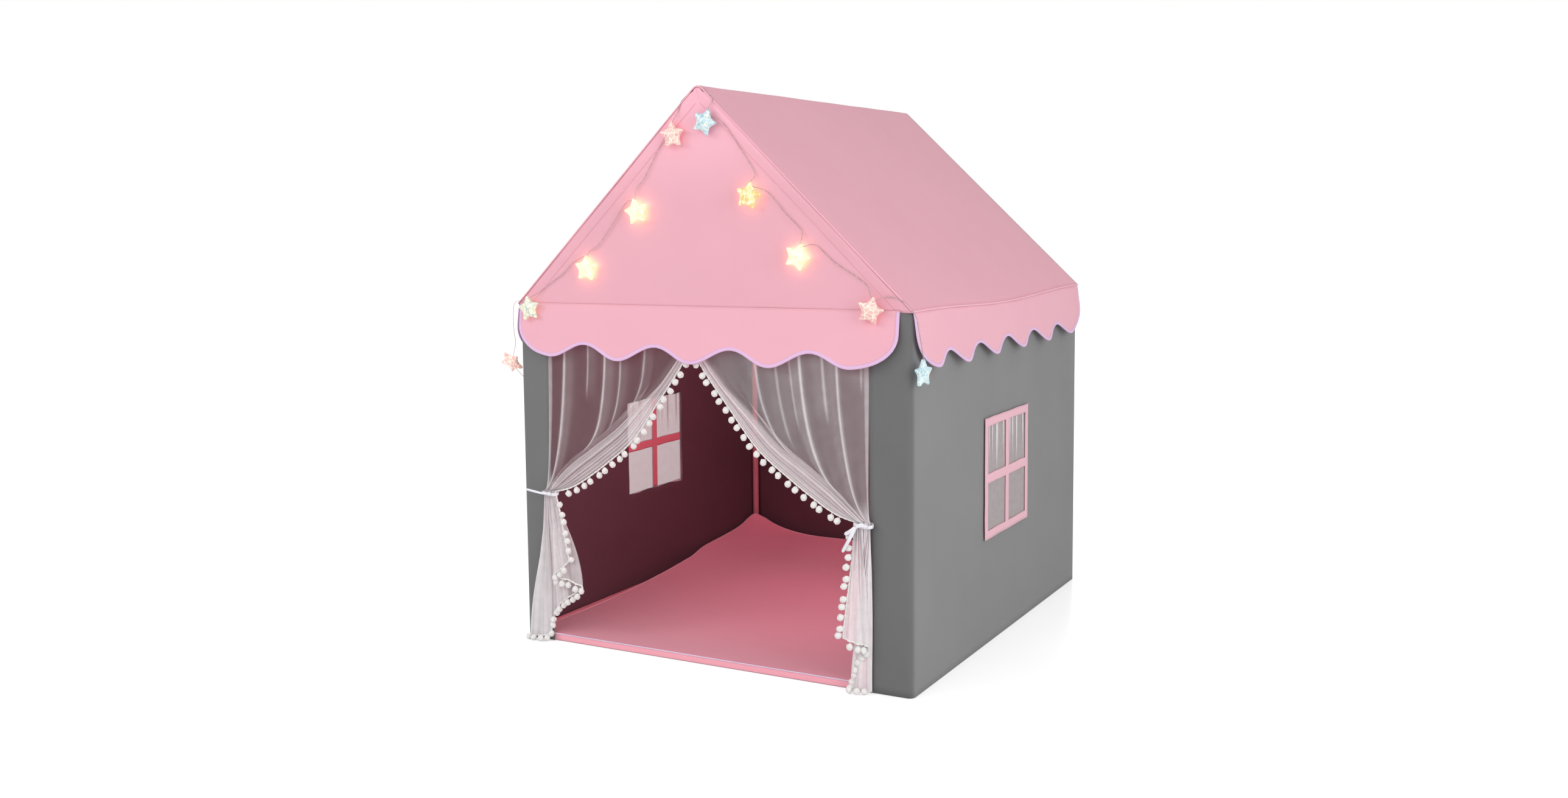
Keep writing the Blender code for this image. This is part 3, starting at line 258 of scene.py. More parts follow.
def tones(tree, factor, *stops):
    """Colours along a factor: each stop is a place from 0 to 1 and a linear colour."""
    ramp = tree.nodes.new("ShaderNodeValToRGB")
    tree.links.new(factor, ramp.inputs["Fac"])
    elements = ramp.color_ramp.elements
    while len(elements) < len(stops):
        elements.new(0.5)
    for element, (place, colour) in zip(elements, stops):
        element.position = place
        element.color = (*colour, 1)
    return ramp.outputs["Color"]


print("node helpers:", [helper.__name__ for helper in (add, blank, math_node, speckle, marked, dress, tones)])


# %% [markdown]
# The cover is thin polyester. Close up it is a plain weave of fine threads, from a step away
# a matt skin with soft ripples where the sewing pulls, and its dye is never quite even. So one
# woven finish has three layers: a weave from two sets of bands on the UV map, which a panel
# of cloth carries in metres, broad ripples as a bump, and two close tones mixed by a noise.
# With painted shading, the colour is scaled by a value that its points carry: painted light and
# shade. With a painted bounce, it turns redder along its length: painted pink light thrown back.

# %% Woven cloth
THREAD = 0.0009
WAVE_REPEAT = 0.314


def weave(tree, uv, thread, distortion=0.0):
    """Two sets of bands across each other, a thread apart; at scale 1 a wave repeats every 0.314."""
    scale = WAVE_REPEAT / thread
    warp, weft = (
        add(tree, "TexWave", {"bands_direction": axis}, Vector=uv, Scale=scale, Distortion=distortion)
        for axis in "XY")
    return math_node(tree, "MAXIMUM", warp.outputs["Fac"], weft.outputs["Fac"])


def woven(name, light, dark, roughness=0.72, ripple=0.0016, ripple_scale=5.0, sheen=0.25,
          use_painted_shading=False, painted_bounce=None):
    """A plain-woven cloth between two close tones."""
    made, tree, shader = blank(name, roughness, Sheen_Weight=sheen, Sheen_Roughness=0.45,
                               Specular_IOR_Level=0.25)
    uv = add(tree, "UVMap").outputs["UV"]
    cloud = speckle(tree, uv, 4.0, 3.0, 0.55)
    fibre = speckle(tree, uv, 420.0)
    threads = weave(tree, uv, THREAD, 0.4)
    mixed = math_node(tree, "MULTIPLY", fibre, 0.3)
    mixed = math_node(tree, "ADD", mixed, math_node(tree, "MULTIPLY", cloud, 0.7))
    colour = tones(tree, mixed, (0.3, dark), (0.7, light))
    # Painted light and shade: the colour is scaled by the value that the points keep.
    if use_painted_shading:
        scaled = add(tree, "VectorMath", {"operation": "SCALE"}, Vector=colour, Scale=marked(tree, "painted_shading"))
        colour = scaled.outputs["Vector"]
    # Painted bounce light: towards the far end the colour turns a redder pink.
    if painted_bounce:
        along = add(tree, "SeparateXYZ", Vector=uv).outputs["Y"]
        far = add(tree, "MapRange", Value=along, From_Min=0.2, From_Max=1.1).outputs["Result"]
        colour = add(tree, "MixRGB", Fac=far, Color1=colour, Color2=(*painted_bounce, 1)).outputs["Color"]
    wave = speckle(tree, uv, ripple_scale, 2.0, 0.4)
    ripples = add(tree, "Bump", Height=wave, Distance=ripple * 10, Strength=0.5)
    dress(tree, shader, colour, threads, THREAD / 4, 0.35, Normal=ripples.outputs["Normal"])
    return made


ROOF_CLOTH = woven("roof_cloth", (0.80, 0.385, 0.465), (0.775, 0.365, 0.445))
GABLE_CLOTH = woven("gable_cloth", (0.86, 0.445, 0.530), (0.835, 0.425, 0.51))
# The gables' finish carries the painted light and shade kept on their points.
GABLE_FACE = woven("gable_face", (0.86, 0.445, 0.530), (0.835, 0.425, 0.51), use_painted_shading=True)
WALL_CLOTH = woven("wall_cloth", (0.244, 0.244, 0.246), (0.221, 0.221, 0.224), roughness=0.8, sheen=0.12,
                   use_painted_shading=True)
# The walls' inner face is a dark wine colour.
WALL_INNER_FACE = woven("wall_inner_face", (0.132, 0.046, 0.063), (0.111, 0.037, 0.052), roughness=0.85, sheen=0.05)
BINDING_TAPE = woven("binding_tape", (0.80, 0.53, 0.77), (0.74, 0.48, 0.71), ripple=0.0003, ripple_scale=60)
# The seams' pink is paler than the cloth beside them, a painted highlight that makes each seam a bright line.
SEAM_PAINTED_HIGHLIGHT = woven("seam_painted_highlight", (0.90, 0.50, 0.575), (0.87, 0.475, 0.55), ripple=0.0002, ripple_scale=60)
SEAM_THREAD = woven("seam_thread", (0.80, 0.39, 0.45), (0.75, 0.35, 0.41), ripple=0.0001, ripple_scale=90)
print("materials with the cloths:", len(bpy.data.materials))


# %% [markdown]
# The light string is a free cord, so its facts come before its shape. The photograph shows it
# from the star beside the left corner up the gable, over the ridge and down to the last star,
# which hangs free at the right corner. The stretch round the left corner to the battery case
# is hidden, so it is a guess. That makes two metres of thin twisted pair, which is limp. The
# route is listed points close to the solid's own, joined by a smooth curve.

# %% Route of the light string
WIRE_ROUTE = (
    (-0.5358, -0.5013, 0.622), (-0.541, -0.517, 0.626), (-0.557, -0.553, 0.658), (-0.572, -0.575, 0.696),
    (-0.56, -0.579, 0.744), (-0.546, -0.603, 0.8), (-0.533, -0.614, 0.846), (-0.513, -0.613, 0.856),
    (-0.4852, -0.6225, 0.8615), (-0.452, -0.607, 0.880), (-0.4238, -0.607, 0.8998), (-0.3864, -0.607, 0.9225),
    (-0.3585, -0.607, 0.9478), (-0.3256, -0.608, 0.9641), (-0.3101, -0.6165, 0.961), (-0.306, -0.608, 0.9765),
    (-0.2768, -0.607, 0.9962), (-0.2352, -0.607, 1.0465), (-0.196, -0.607, 1.094), (-0.1702, -0.6165, 1.0951),
    (-0.1680, -0.607, 1.1242), (-0.1488, -0.607, 1.145), (-0.1226, -0.607, 1.1865), (-0.0916, -0.608, 1.2345),
    (-0.0637, -0.6165, 1.2690), (-0.049, -0.607, 1.302), (-0.0411, -0.6068, 1.321), (-0.0238, -0.602, 1.3377),
    (-0.0106, -0.595, 1.3504), (-0.0012, -0.591, 1.354), (0.0106, -0.595, 1.3504), (0.0238, -0.602, 1.3377),
    (0.0411, -0.6068, 1.321), (0.0346, -0.6165, 1.2927), (0.0709, -0.607, 1.2623), (0.1171, -0.607, 1.1995),
    (0.1476, -0.607, 1.1512), (0.1397, -0.6165, 1.1265), (0.1779, -0.607, 1.11), (0.2232, -0.607, 1.0622),
    (0.2635, -0.607, 1.0216), (0.2654, -0.6165, 0.9887), (0.2976, -0.607, 0.9911), (0.3415, -0.607, 0.9549),
    (0.4138, -0.607, 0.9092), (0.4407, -0.6225, 0.8741), (0.4635, -0.609, 0.8797), (0.4846, -0.611, 0.8787),
    (0.509, -0.6135, 0.870), (0.526, -0.615, 0.855), (0.538, -0.614, 0.834), (0.5435, -0.611, 0.80),
    (0.5475, -0.608, 0.77), (0.548, -0.599, 0.742),
)
WIRE_RADIUS = 0.0010
WIRE_Y = FRONT - 0.002
WIRE_STEP = 0.0025
TWIST_LENGTH = 0.009
CURVE_STEPS = 10
print("points of the route:", len(WIRE_ROUTE))


# %% Smooth the route
def through(points, place):
    """The point of a smooth curve through listed points; place counts from 0 to the last."""
    last = len(points) - 1
    cell = min(int(place), last - 1)
    step = place - cell
    before, start, end, after = (Vector(points[min(max(cell + k, 0), last)]) for k in (-1, 0, 1, 2))
    return ((2 * start) + (end - before) * step + (2 * before - 5 * start + 4 * end - after) * step ** 2
            + (3 * start - before - 3 * end + after) * step ** 3) / 2


def line_length(points):
    """The length of a line through points."""
    return sum((b - a).length for a, b in zip(points, points[1:]))


def even_line(points, pitch):
    """Points a pitch apart along a line, and its last point."""
    result = [points[0].copy()]
    left = pitch
    for start, end in zip(points, points[1:]):
        run = (end - start).length
        done = 0
        while run - done >= left:
            done += left
            result.append(start.lerp(end, done / run))
            left = pitch
        left -= run - done
    return result + [points[-1].copy()]


def heading(line, index, reach=1):
    """The direction of a line at one of its points, taken from its neighbours."""
    return (line[min(index + reach, len(line) - 1)] - line[max(index - reach, 0)]).normalized()


wire_line = [through(WIRE_ROUTE, k / CURVE_STEPS) for k in range(CURVE_STEPS * (len(WIRE_ROUTE) - 1) + 1)]
for point in wire_line:
    if abs(point.x) < HALF_WIDTH and point.z < RIDGE - POLE_ROUND - 0.0012:
        point.y = min(point.y, WIRE_Y)
wire_line = even_line(wire_line, WIRE_STEP)
wire_length = line_length(wire_line)
print("light string length:", round(wire_length, 3), "points:", len(wire_line))


# %% [markdown]
# A tube along a line is best made as a curve with a round bevel, as a hand would draw it,
# and then converted to a mesh. The twisted pair is the same with a flat, two-lobed profile
# that turns as it goes: the tilt of each point adds up to one turn every nine millimetres.

# %% Tubes along a line
def tube(name, points, radius, sides=6, profile=None, twist=0.0, radii=None):
    """A mesh tube through the points, with filled ends."""
    piece = added(bpy.ops.curve.primitive_bezier_curve_add, name)
    data = piece.data
    data.splines.clear()
    data.dimensions = "3D"
    data.bevel_depth = radius
    data.bevel_resolution = max(sides // 2 - 2, 0)
    data.use_fill_caps = True
    if profile:
        data.bevel_mode = "OBJECT"
        data.bevel_object = profile
    spline = data.splines.new("POLY")
    spline.points.add(len(points) - 1)
    for number, (place, point) in enumerate(zip(points, spline.points)):
        point.co = (*place, 1)
        point.tilt = twist * number
        point.radius = radii[number] if radii else 1
    take(piece)
    bpy.ops.object.convert(target="MESH")
    bpy.ops.object.shade_smooth()
    return bpy.context.object


def drop(*pieces):
    """Delete what only helped to shape something."""
    for piece in pieces:
        bpy.data.objects.remove(piece, do_unlink=True)


pair_profile = added(bpy.ops.curve.primitive_bezier_circle_add, "pair_profile", radius=WIRE_RADIUS)
pair_profile.data.resolution_u = 3
for knot in pair_profile.data.splines[0].bezier_points:
    squeeze = 0.62 if abs(knot.co.y) > abs(knot.co.x) else 1.0
    knot.co *= squeeze
    knot.handle_left *= squeeze
    knot.handle_right *= squeeze
wire = tube("light_string_wire", wire_line, WIRE_RADIUS, profile=pair_profile,
            twist=2 * math.pi * WIRE_STEP / TWIST_LENGTH)
drop(pair_profile)
print("wire faces:", len(wire.data.polygons))

# %% [markdown]
# The wire's skin is clear plastic over copper, so it reads as a warm grey-brown thread with
# a little gloss. The two strands catch the light in turn, which the twist already gives.

# %% Wire finish
wire_skin, tree, shader = blank("wire_skin", 0.35, Specular_IOR_Level=0.5, Coat_Weight=0.3)
place = add(tree, "TexCoord").outputs["Object"]
speck = speckle(tree, place, 160.0)
dress(tree, shader, tones(tree, speck, (0.35, (0.38, 0.23, 0.24)), (0.7, (0.56, 0.40, 0.40))))
wire.data.materials.append(wire_skin)
print("wire finish:", wire_skin.name)

# %% [markdown]
# Each lamp is a puffy five-pointed star of clear moulded plastic. A hand would start from a
# ten-sided disc, draw every other corner in to make the valleys, pull the middles out to
# puff it, and let a subdivision round the tips. It is made once, lying at the origin with its
# five tips in the XY plane, and its copies are stood up as they are hung.

# %% One star
STAR_TIP = 0.0352
STAR_VALLEY = 0.0180
STAR_HALF_THICK = 0.0118
STAR_RIM = 0.0042


def near_middle(co):
    """The middle point of the disc's front or back."""
    return co.xy.length < STAR_TIP / 4


def in_valley(co):
    """A corner of the disc between two tips."""
    return co.xy.length > STAR_TIP / 4 and math.cos(5 * math.atan2(co.x, co.y)) < 0


star_pattern = added(bpy.ops.mesh.primitive_cylinder_add, "star_pattern", vertices=10, radius=STAR_TIP,
                     depth=2 * STAR_RIM, end_fill_type="TRIFAN")
edit(star_pattern, "VERT", in_valley)
draw_in = STAR_VALLEY / STAR_TIP
bpy.ops.transform.resize(value=(draw_in, draw_in, 1.0), center_override=(0, 0, 0))
edit(star_pattern, "VERT", near_middle)
bpy.ops.transform.resize(value=(1, 1, STAR_HALF_THICK / STAR_RIM), center_override=(0, 0, 0))
edit(star_pattern, "EDGE")
bpy.ops.mesh.subdivide(number_cuts=1)
put_down()
rounding = star_pattern.modifiers.new("rounding", "SUBSURF")
rounding.levels = rounding.render_levels = 2
apply_all(star_pattern)
bpy.ops.object.shade_smooth()
print("star faces:", len(star_pattern.data.polygons))

# %% [markdown]
# In the photograph three stars are fully lit and glow warm, one is a deeper yellow, three
# glimmer pink, two are pale blue and one is cream with grey-blue cracks. All have a crackled
# inside, so one finish serves them all: a cell pattern gives each facet its own tint, the
# cells' borders are pale cracks, and the facets tilt the bump. The cracks also shine a little,
# partly the lamp's own glow and partly a painted glint. A lit star shines from its own surface,
# more from the side that faces the cloth, which is what throws the warm patch on the gable.

# %% Star finishes
def lamp(name, stops, crack, glow, front, rear, lines):
    """Crackled plastic; front, rear and lines are the strengths of what shines, and the shine on the cracks
    is partly a painted glint.
    """
    made, tree, shader = blank(name, 0.18, Coat_Weight=0.5, Coat_Roughness=0.1, Specular_IOR_Level=0.5)
    place = add(tree, "TexCoord").outputs["Object"]
    cells = add(tree, "TexVoronoi", {"feature": "F1"}, Vector=place, Scale=90.0, Randomness=1.0)
    rims = add(tree, "TexVoronoi", {"feature": "DISTANCE_TO_EDGE"}, Vector=place, Scale=90.0, Randomness=1.0)
    line = add(tree, "MapRange", Value=rims.outputs["Distance"], From_Min=0.02, From_Max=0.065, To_Min=1.0,
               To_Max=0.0).outputs["Result"]
    tint = add(tree, "SeparateColor", Color=cells.outputs["Color"])
    facet = tones(tree, tint.outputs["Red"], *stops)
    colour = add(tree, "MixRGB", Fac=line, Color1=facet, Color2=(*crack, 1)).outputs["Color"]
    dress(tree, shader, colour, tint.outputs["Green"], 0.0012, 0.2)
    tree.links.new(tones(tree, marked(tree, "heart"), *glow), shader.inputs["Emission Color"])
    power = math_node(tree, "ADD", math_node(tree, "MULTIPLY", marked(tree, "rear"), rear), front)
    # The cracks shine too: partly the lamp's glow, partly a painted glint.
    power = math_node(tree, "ADD", power, math_node(tree, "MULTIPLY", line, lines))
    tree.links.new(power, shader.inputs["Emission Strength"])
    return made


WARM = ((0.0, (1.0, 0.60, 0.24)), (0.25, (1.0, 0.88, 0.50)), (0.6, (1.0, 0.95, 0.66)))
LIT_STAR = lamp("lit_star", ((0.2, (0.52, 0.44, 0.22)), (0.7, (0.60, 0.54, 0.32))),
                (0.85, 0.80, 0.62), WARM, 0.52, 4.6, 0.06)
YELLOW_STAR = lamp("yellow_star", ((0.2, (0.74, 0.50, 0.12)), (0.7, (0.84, 0.66, 0.25))),
                   (1.0, 0.92, 0.60), WARM, 0.16, 2.8, 0.16)
ROSE_STAR = lamp("rose_star",
                 ((0.15, (0.76, 0.41, 0.40)), (0.5, (0.82, 0.49, 0.46)), (0.85, (0.86, 0.58, 0.52))),
                 (0.98, 0.88, 0.72), ((0.0, (1.0, 0.45, 0.36)), (0.6, (1.0, 0.68, 0.48))), 0.05, 0.3, 0.10)
# A brighter copy of the rose finish, in colour and in glow: painted light on the star at the left corner,
# which the key lamp hardly reaches.
ROSE_STAR_PAINTED_LIGHT = lamp("rose_star_painted_light",
                  ((0.15, (0.84, 0.40, 0.39)), (0.5, (0.90, 0.50, 0.47)), (0.85, (0.95, 0.60, 0.55))),
                  (1.0, 0.92, 0.76), ((0.0, (1.0, 0.50, 0.42)), (0.6, (1.0, 0.68, 0.52))), 0.16, 0.5, 0.20)
SILVER_STAR = lamp("silver_star",
                   ((0.1, (0.36, 0.58, 0.70)), (0.5, (0.43, 0.64, 0.75)), (0.9, (0.53, 0.71, 0.77))),
                   (0.95, 0.92, 0.72), ((0.0, (0.8, 0.9, 1.0)), (0.7, (1.0, 1.0, 0.8))), 0.03, 0.0, 0.06)
PALE_STAR = lamp("pale_star",
                 ((0.1, (0.68, 0.70, 0.58)), (0.5, (0.84, 0.82, 0.62)), (0.9, (0.93, 0.89, 0.66))),
                 (0.34, 0.46, 0.50), ((0.0, (1.0, 0.8, 0.4)), (0.7, (1.0, 0.95, 0.7))), 0.07, 0.5, 0.0)
print("materials with the stars:", len(bpy.data.materials))


# %% Hang the ten stars
# Each star: its middle, its turn, the way it faces, its lean, and its finish.
STARS = (
    ((-0.578, -0.573, 0.696), 90, 0, 35, ROSE_STAR_PAINTED_LIGHT),
    ((-0.4809, -0.6225, 0.8369), 10, 0, 0, PALE_STAR),
    ((-0.3118, -0.6165, 0.9360), -4, 0, 0, LIT_STAR),
    ((-0.1650, -0.6165, 1.0706), 12, 0, 0, LIT_STAR),
    ((-0.0620, -0.6165, 1.2441), 4, 0, 0, ROSE_STAR),
    ((0.0240, -0.6165, 1.2700), -25, 0, 0, SILVER_STAR),
    ((0.1345, -0.6165, 1.1020), -12, 0, 0, YELLOW_STAR),
    ((0.2560, -0.6165, 0.9655), -22, 0, 0, LIT_STAR),
    ((0.4342, -0.6225, 0.8500), -15, 0, 0, ROSE_STAR),
    ((0.546, -0.598, 0.717), 0, 80, 0, SILVER_STAR),
)


def mark(piece, name, value):
    """Keep a value for each vertex under a name that a material can read."""
    layer = piece.data.attributes.get(name) or piece.data.attributes.new(name, "FLOAT", "POINT")
    for vert, item in zip(piece.data.vertices, layer.data):
        item.value = value(vert)


def copy_of(pattern, name, matrix):
    """A copy with its own mesh, moved in its mesh."""
    made = pattern.copy()
    made.data = pattern.data.copy()
    made.name = made.data.name = name
    bpy.context.scene.collection.objects.link(made)
    made.data.transform(matrix)
    return made


REAR_FACE = -0.003
REAR_CORE = 0.010


def heart_glow(vert):
    """How near the lamp's middle a point of its front is, from a quarter at the tips to 1."""
    near = max(0.0, 1 - vert.co.xy.length / STAR_TIP)
    return (0.25 + 0.75 * near) * (vert.co.z > REAR_FACE)


mark(star_pattern, "heart", heart_glow)
mark(star_pattern, "rear", lambda vert: float(vert.co.z < REAR_FACE and vert.co.xy.length > REAR_CORE))
for number, (middle, turn, facing, lean, finish) in enumerate(STARS, 1):
    matrix = (Matrix.Translation(middle) @ Matrix.Rotation(math.radians(facing), 4, "Z")
              @ Matrix.Rotation(math.pi / 2, 4, "X") @ Matrix.Rotation(math.radians(lean), 4, "X")
              @ Matrix.Rotation(math.radians(turn), 4, "Z"))
    star = copy_of(star_pattern, f"star_lamp_{number}", matrix)
    star.data.materials.append(finish)
    rest(star, "tent", "light_string", slot="lamp_plastic")
drop(star_pattern)
rest(wire, "tent", "light_string", slot="lamp_plastic")
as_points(wire_line)


# %% [markdown]
# Each cloth panel is cut flat and then hung. The flat cut is a grid with as many columns and
# rows as its folds need, and its UV map is laid out in metres, so that the weave has the same
# size on every panel. Hanging moves each point of the grid to its place on the tent, which
# is one function per panel. This keeps the real cut size, which the frame asks for.

# %% Cut and hang
def cut_cloth(name, width, length, columns, rows, place, *finishes):
    """A flat grid of that size, hung by place(u, v), u and v from 0 to 1."""
    piece = added(bpy.ops.mesh.primitive_grid_add, name, x_subdivisions=columns, y_subdivisions=rows, size=1)
    for vert in piece.data.vertices:
        vert.co = place(vert.co.x + 0.5, vert.co.y + 0.5)
    for loop in piece.data.uv_layers.active.data:
        loop.uv = (loop.uv[0] * width, loop.uv[1] * length)
    for finish in finishes:
        piece.data.materials.append(finish)
    bpy.ops.object.shade_smooth()
    return piece


def face_out(piece, outward):
    """Turn the faces over if most of them look away from the outward direction."""
    votes = sum(face.normal.dot(Vector(outward)) * face.area for face in piece.data.polygons)
    if votes < 0:
        edit(piece)
        bpy.ops.mesh.flip_normals()
        put_down()
    return piece


def clamp(value):
    """The value, held between 0 and 1."""
    return min(max(value, 0), 1)


def eave_drop(y):
    """How far the eave sags between its corners."""
    return EAVE_SAG * math.sin(math.pi * clamp((y + SAG_HALF) / (2 * SAG_HALF))) ** 2


def soft(share):
    """A smooth step from 0 to 1."""
    share = clamp(share)
    return share * share * (3 - 2 * share)


def crease(point, scale, depth):
    """A gentle, repeatable unevenness of cloth at a point."""
    return depth * noise.noise(Vector(point) * scale)


def lay_uv(piece, point):
    """Lay the UV map in metres; point gives a vertex's place on the flat cloth."""
    layer = piece.data.uv_layers.active or piece.data.uv_layers.new(name="UVMap")
    layer.name = "UVMap"
    for loop, uv in zip(piece.data.loops, layer.data):
        uv.uv = point(piece.data.vertices[loop.vertex_index].co)


def seam(name, points, radius, finish):
    """A rolled seam or a line of stitching along a line."""
    piece = tube(name, even_line(points, 0.008), radius)
    lay_uv(piece, lambda co: (co.x + co.y, co.z))
    piece.data.materials.append(finish)
    return rest(piece, "tent", slot="pale_pink_cloth")


print("eave sag halfway:", round(eave_drop(0), 4))

# %% [markdown]
# The roof is one sheet from eave to eave over the ridge pole. It is taut between the rafters,
# so it stays nearly flat, and only the round of the ridge, the sag of the long eaves and a few
# shallow pulls at the corners shape it. A quarter of a degree of curve is enough to show in
# the light, which is why it isn't a folded plate.

# %% Roof
SLOPE = math.hypot(HALF_WIDTH, APEX - EAVE)
ROOF_LIFT = 0.0012
SLOPE_SHARE = 0.44
ROOF_BELLY = 0.0035
ROOF_PULL = 0.0016
CALM_EDGE = 0.06


def roof_section(u):
    """Across the roof, from the right eave at 0 over the ridge to the left eave at 1."""
    side = 1 if u < 0.5 else -1
    share = min(u, 1 - u)
    reach = POLE_ROUND + ROOF_LIFT
    if share > SLOPE_SHARE:
        angle = PITCH * (0.5 - share) / (0.5 - SLOPE_SHARE)
        return side * reach * math.sin(angle), RIDGE + reach * math.cos(angle)
    head = Vector((reach * math.sin(PITCH), RIDGE + reach * math.cos(PITCH)))
    foot = Vector((HALF_WIDTH + CLOTH, EAVE - 0.0006))
    x, z = foot.lerp(head, share / SLOPE_SHARE)
    return side * x, z


def roof_place(u, v):
    """A point of the roof, u across it and v from front to back."""
    x, z = roof_section(u)
    y = FRONT + 2 * HALF_DEPTH * v
    down = soft((HALF_WIDTH - abs(x)) / CALM_EDGE)
    belly = ROOF_BELLY * math.sin(math.pi * v) * math.sin(math.pi * clamp(abs(x) / HALF_WIDTH))
    z -= eave_drop(y) * (abs(x) / HALF_WIDTH) ** 2 + belly
    pull = crease((x * 2, y * 1.4, z), 5, ROOF_PULL) * down * soft(v / 0.08) * soft((1 - v) / 0.08)
    return Vector((x + math.copysign(pull * 0.7, x), y, z + pull * 0.7))


roof = cut_cloth("roof_sheet", 2 * SLOPE, 2 * HALF_DEPTH, 120, 72, roof_place, ROOF_CLOTH)
face_out(roof, (0, 0, 1))
thicken(roof)
rest(roof, "tent", "roof_cover", slot="pink_cloth")
# The hems and eave seams are real; their paler pink is a painted highlight.
for end_name, v, out in (("front", 0, -0.0008), ("back", 1, 0.0008)):
    rolled = [roof_place(k / 160, v) + Vector((0, out, -0.0012)) for k in range(161)]
    seam(f"roof_hem_{end_name}", rolled, 0.0016, SEAM_PAINTED_HIGHLIGHT)
for side_name, u, out in (("right", 0, 0.0006), ("left", 1, -0.0006)):
    eave_line = [roof_place(u, k / 80) + Vector((out, 0, -0.0006)) for k in range(81)]
    seam(f"eave_seam_{side_name}", eave_line, 0.0021, SEAM_PAINTED_HIGHLIGHT)
print("roof faces:", len(roof.data.polygons))

# %% [markdown]
# A gable is a triangle of paler cloth, sewn to the roof along the rafters and to a valance
# along its foot. Its cut is a grid that narrows upwards row by row. The cloth rides
# over the rafter poles, so a soft rib with a stitched valley runs down each sloping side, and
# shows more on the side that lies slacker.

# %% Gables
GABLE_ROUND = 0.0128
GABLE_TIP = 0.003
GABLE_FOOT = (APEX - CLOTH / math.cos(PITCH) - SEAM) / math.tan(PITCH)
GABLE_TOP = RIDGE + GABLE_ROUND
RIB_IN = 0.008
RIB_HEIGHT = 0.0022
STITCH_IN = 0.026
STITCH_DEPTH = 0.0006
GABLE_SLACK = 0.004
STITCH_PITCH = 0.012


def gable_half(z):
    """Half the width of the gable at a height, below the roof cloth; its tip is round."""
    straight = (APEX - CLOTH / math.cos(PITCH) - z) / math.tan(PITCH)
    if z <= RIDGE:
        return straight
    return max(min(straight, math.sqrt(max(GABLE_ROUND ** 2 - (z - RIDGE) ** 2, 0))), GABLE_TIP)


def gable_place(end):
    """The place function of one gable; end is -1 for the front and 1 for the back."""
    def place(u, v):
        z = SEAM + (GABLE_TOP - SEAM) * (1 - (1 - v) ** 1.15)
        half = gable_half(z)
        x = (2 * u - 1) * half
        inside = (half - abs(x)) * math.sin(PITCH)
        rib = RIB_HEIGHT * math.exp(-((inside - RIB_IN) / 0.009) ** 2)
        rib -= STITCH_DEPTH * math.exp(-((inside - STITCH_IN) / 0.0035) ** 2)
        rib *= 1.0 if x * end < 0 else 0.4
        slack = GABLE_SLACK * math.sin(math.pi * min(inside / 0.28, 1)) * soft((z - SEAM) / 0.2)
        y = end * (HALF_DEPTH - 0.0008 + rib - slack + crease((x, 0, z), 7, 0.0008))
        return Vector((x, y, z))
    return place


for end_name, end in ENDS:
    gable = cut_cloth(f"gable_sheet_{end_name}", 2 * GABLE_FOOT, GABLE_TOP - SEAM, 110, 70,
                      gable_place(end), GABLE_FACE)
    # Painted light and shade: the gable is a little darker at its foot and brighter towards its top.
    mark(gable, "painted_shading", lambda vert: 0.945 + 0.155 * soft((vert.co.z - 1.06) / 0.24))
    lay_uv(gable, lambda co: (co.x, co.z))
    face_out(gable, (0, end, 0))
    thicken(gable, offset=-1)
    rest(gable, "tent", f"gable_{end_name}", slot="pale_pink_cloth")
    for side in (-1, 1):
        heights = [SEAM + STITCH_PITCH * k for k in range(42)]
        run = [(gable_half(z) - STITCH_IN / math.sin(PITCH), z) for z in heights]
        line = [Vector((side * x, end * (HALF_DEPTH - 0.0010), z)) for x, z in run if 0.004 < x < 0.49]
        seam(f"gable_stitch_{end_name}_{side}", line, 0.0003, SEAM_THREAD)
    # The foot seam is real; its paler pink is painted light over the shadow in the gap above the valance.
    foot_line = [Vector((x, end * (HALF_DEPTH + 0.0007), EAVE - 0.0002)) for x in (-0.505, 0.0, 0.495)]
    seam(f"gable_foot_seam_{end_name}", foot_line, 0.0005, SEAM_PAINTED_HIGHLIGHT)


# %% [markdown]
# The walls are heavier grey cloth, dark wine on their inner face. Each side wall starts at its door jamb,
# wraps the corner post and runs back to the far post. On the real cover the window is a hole
# with a sewn frame, so the sheet is cut with four straight bisects along the hole's edges and
# the faces between them are deleted, as a hand would do with a knife along a ruler. A value
# kept on the points paints shade on the narrow strips beside the door, as the photograph shows them.

# %% Plan of the side walls
WALL_TOP = 0.8457
HEM_LIFT = 0.0006
WALL_SAG = 0.0035
WALL_DENT = 0.0016
PUCKER = 0.0055
WINDOW_Y = 0.010
WINDOW_Z = 0.411
WINDOW_WIDTH = 0.284
WINDOW_HEIGHT = 0.260
WINDOW = (WINDOW_Y - WINDOW_WIDTH / 2, WINDOW_Y + WINDOW_WIDTH / 2,
          WINDOW_Z - WINDOW_HEIGHT / 2, WINDOW_Z + WINDOW_HEIGHT / 2)
STRIPS = {-1: 0.085, 1: 0.102}
# How dark the painted shade on the strips beside the door is, left and right.
FRONT_PAINTED_SHADE = {-1: 0.74, 1: 0.66}


def plan_line(side):
    """The plan of a side wall's outer face from the door jamb round to the back seam."""
    points = [Vector((side * (HALF_WIDTH - STRIPS[side] * (1 - k / 8)), FRONT)) for k in range(7)]
    points = [point for point in points if abs(point.x) < POST_X - 0.001]

    def round_post(post_y, start):
        """A quarter turn round a corner post."""
        for k in range(9):
            angle = start + math.pi / 2 * k / 8
            points.append(Vector((side * (POST_X + POLE_ROUND * math.cos(angle)),
                                  post_y + POLE_ROUND * math.sin(angle))))

    round_post(-POST_Y, -math.pi / 2)
    points.extend(Vector((side * HALF_WIDTH, -POST_Y + 2 * POST_Y * k / 60)) for k in range(1, 60))
    round_post(POST_Y, 0)
    return points


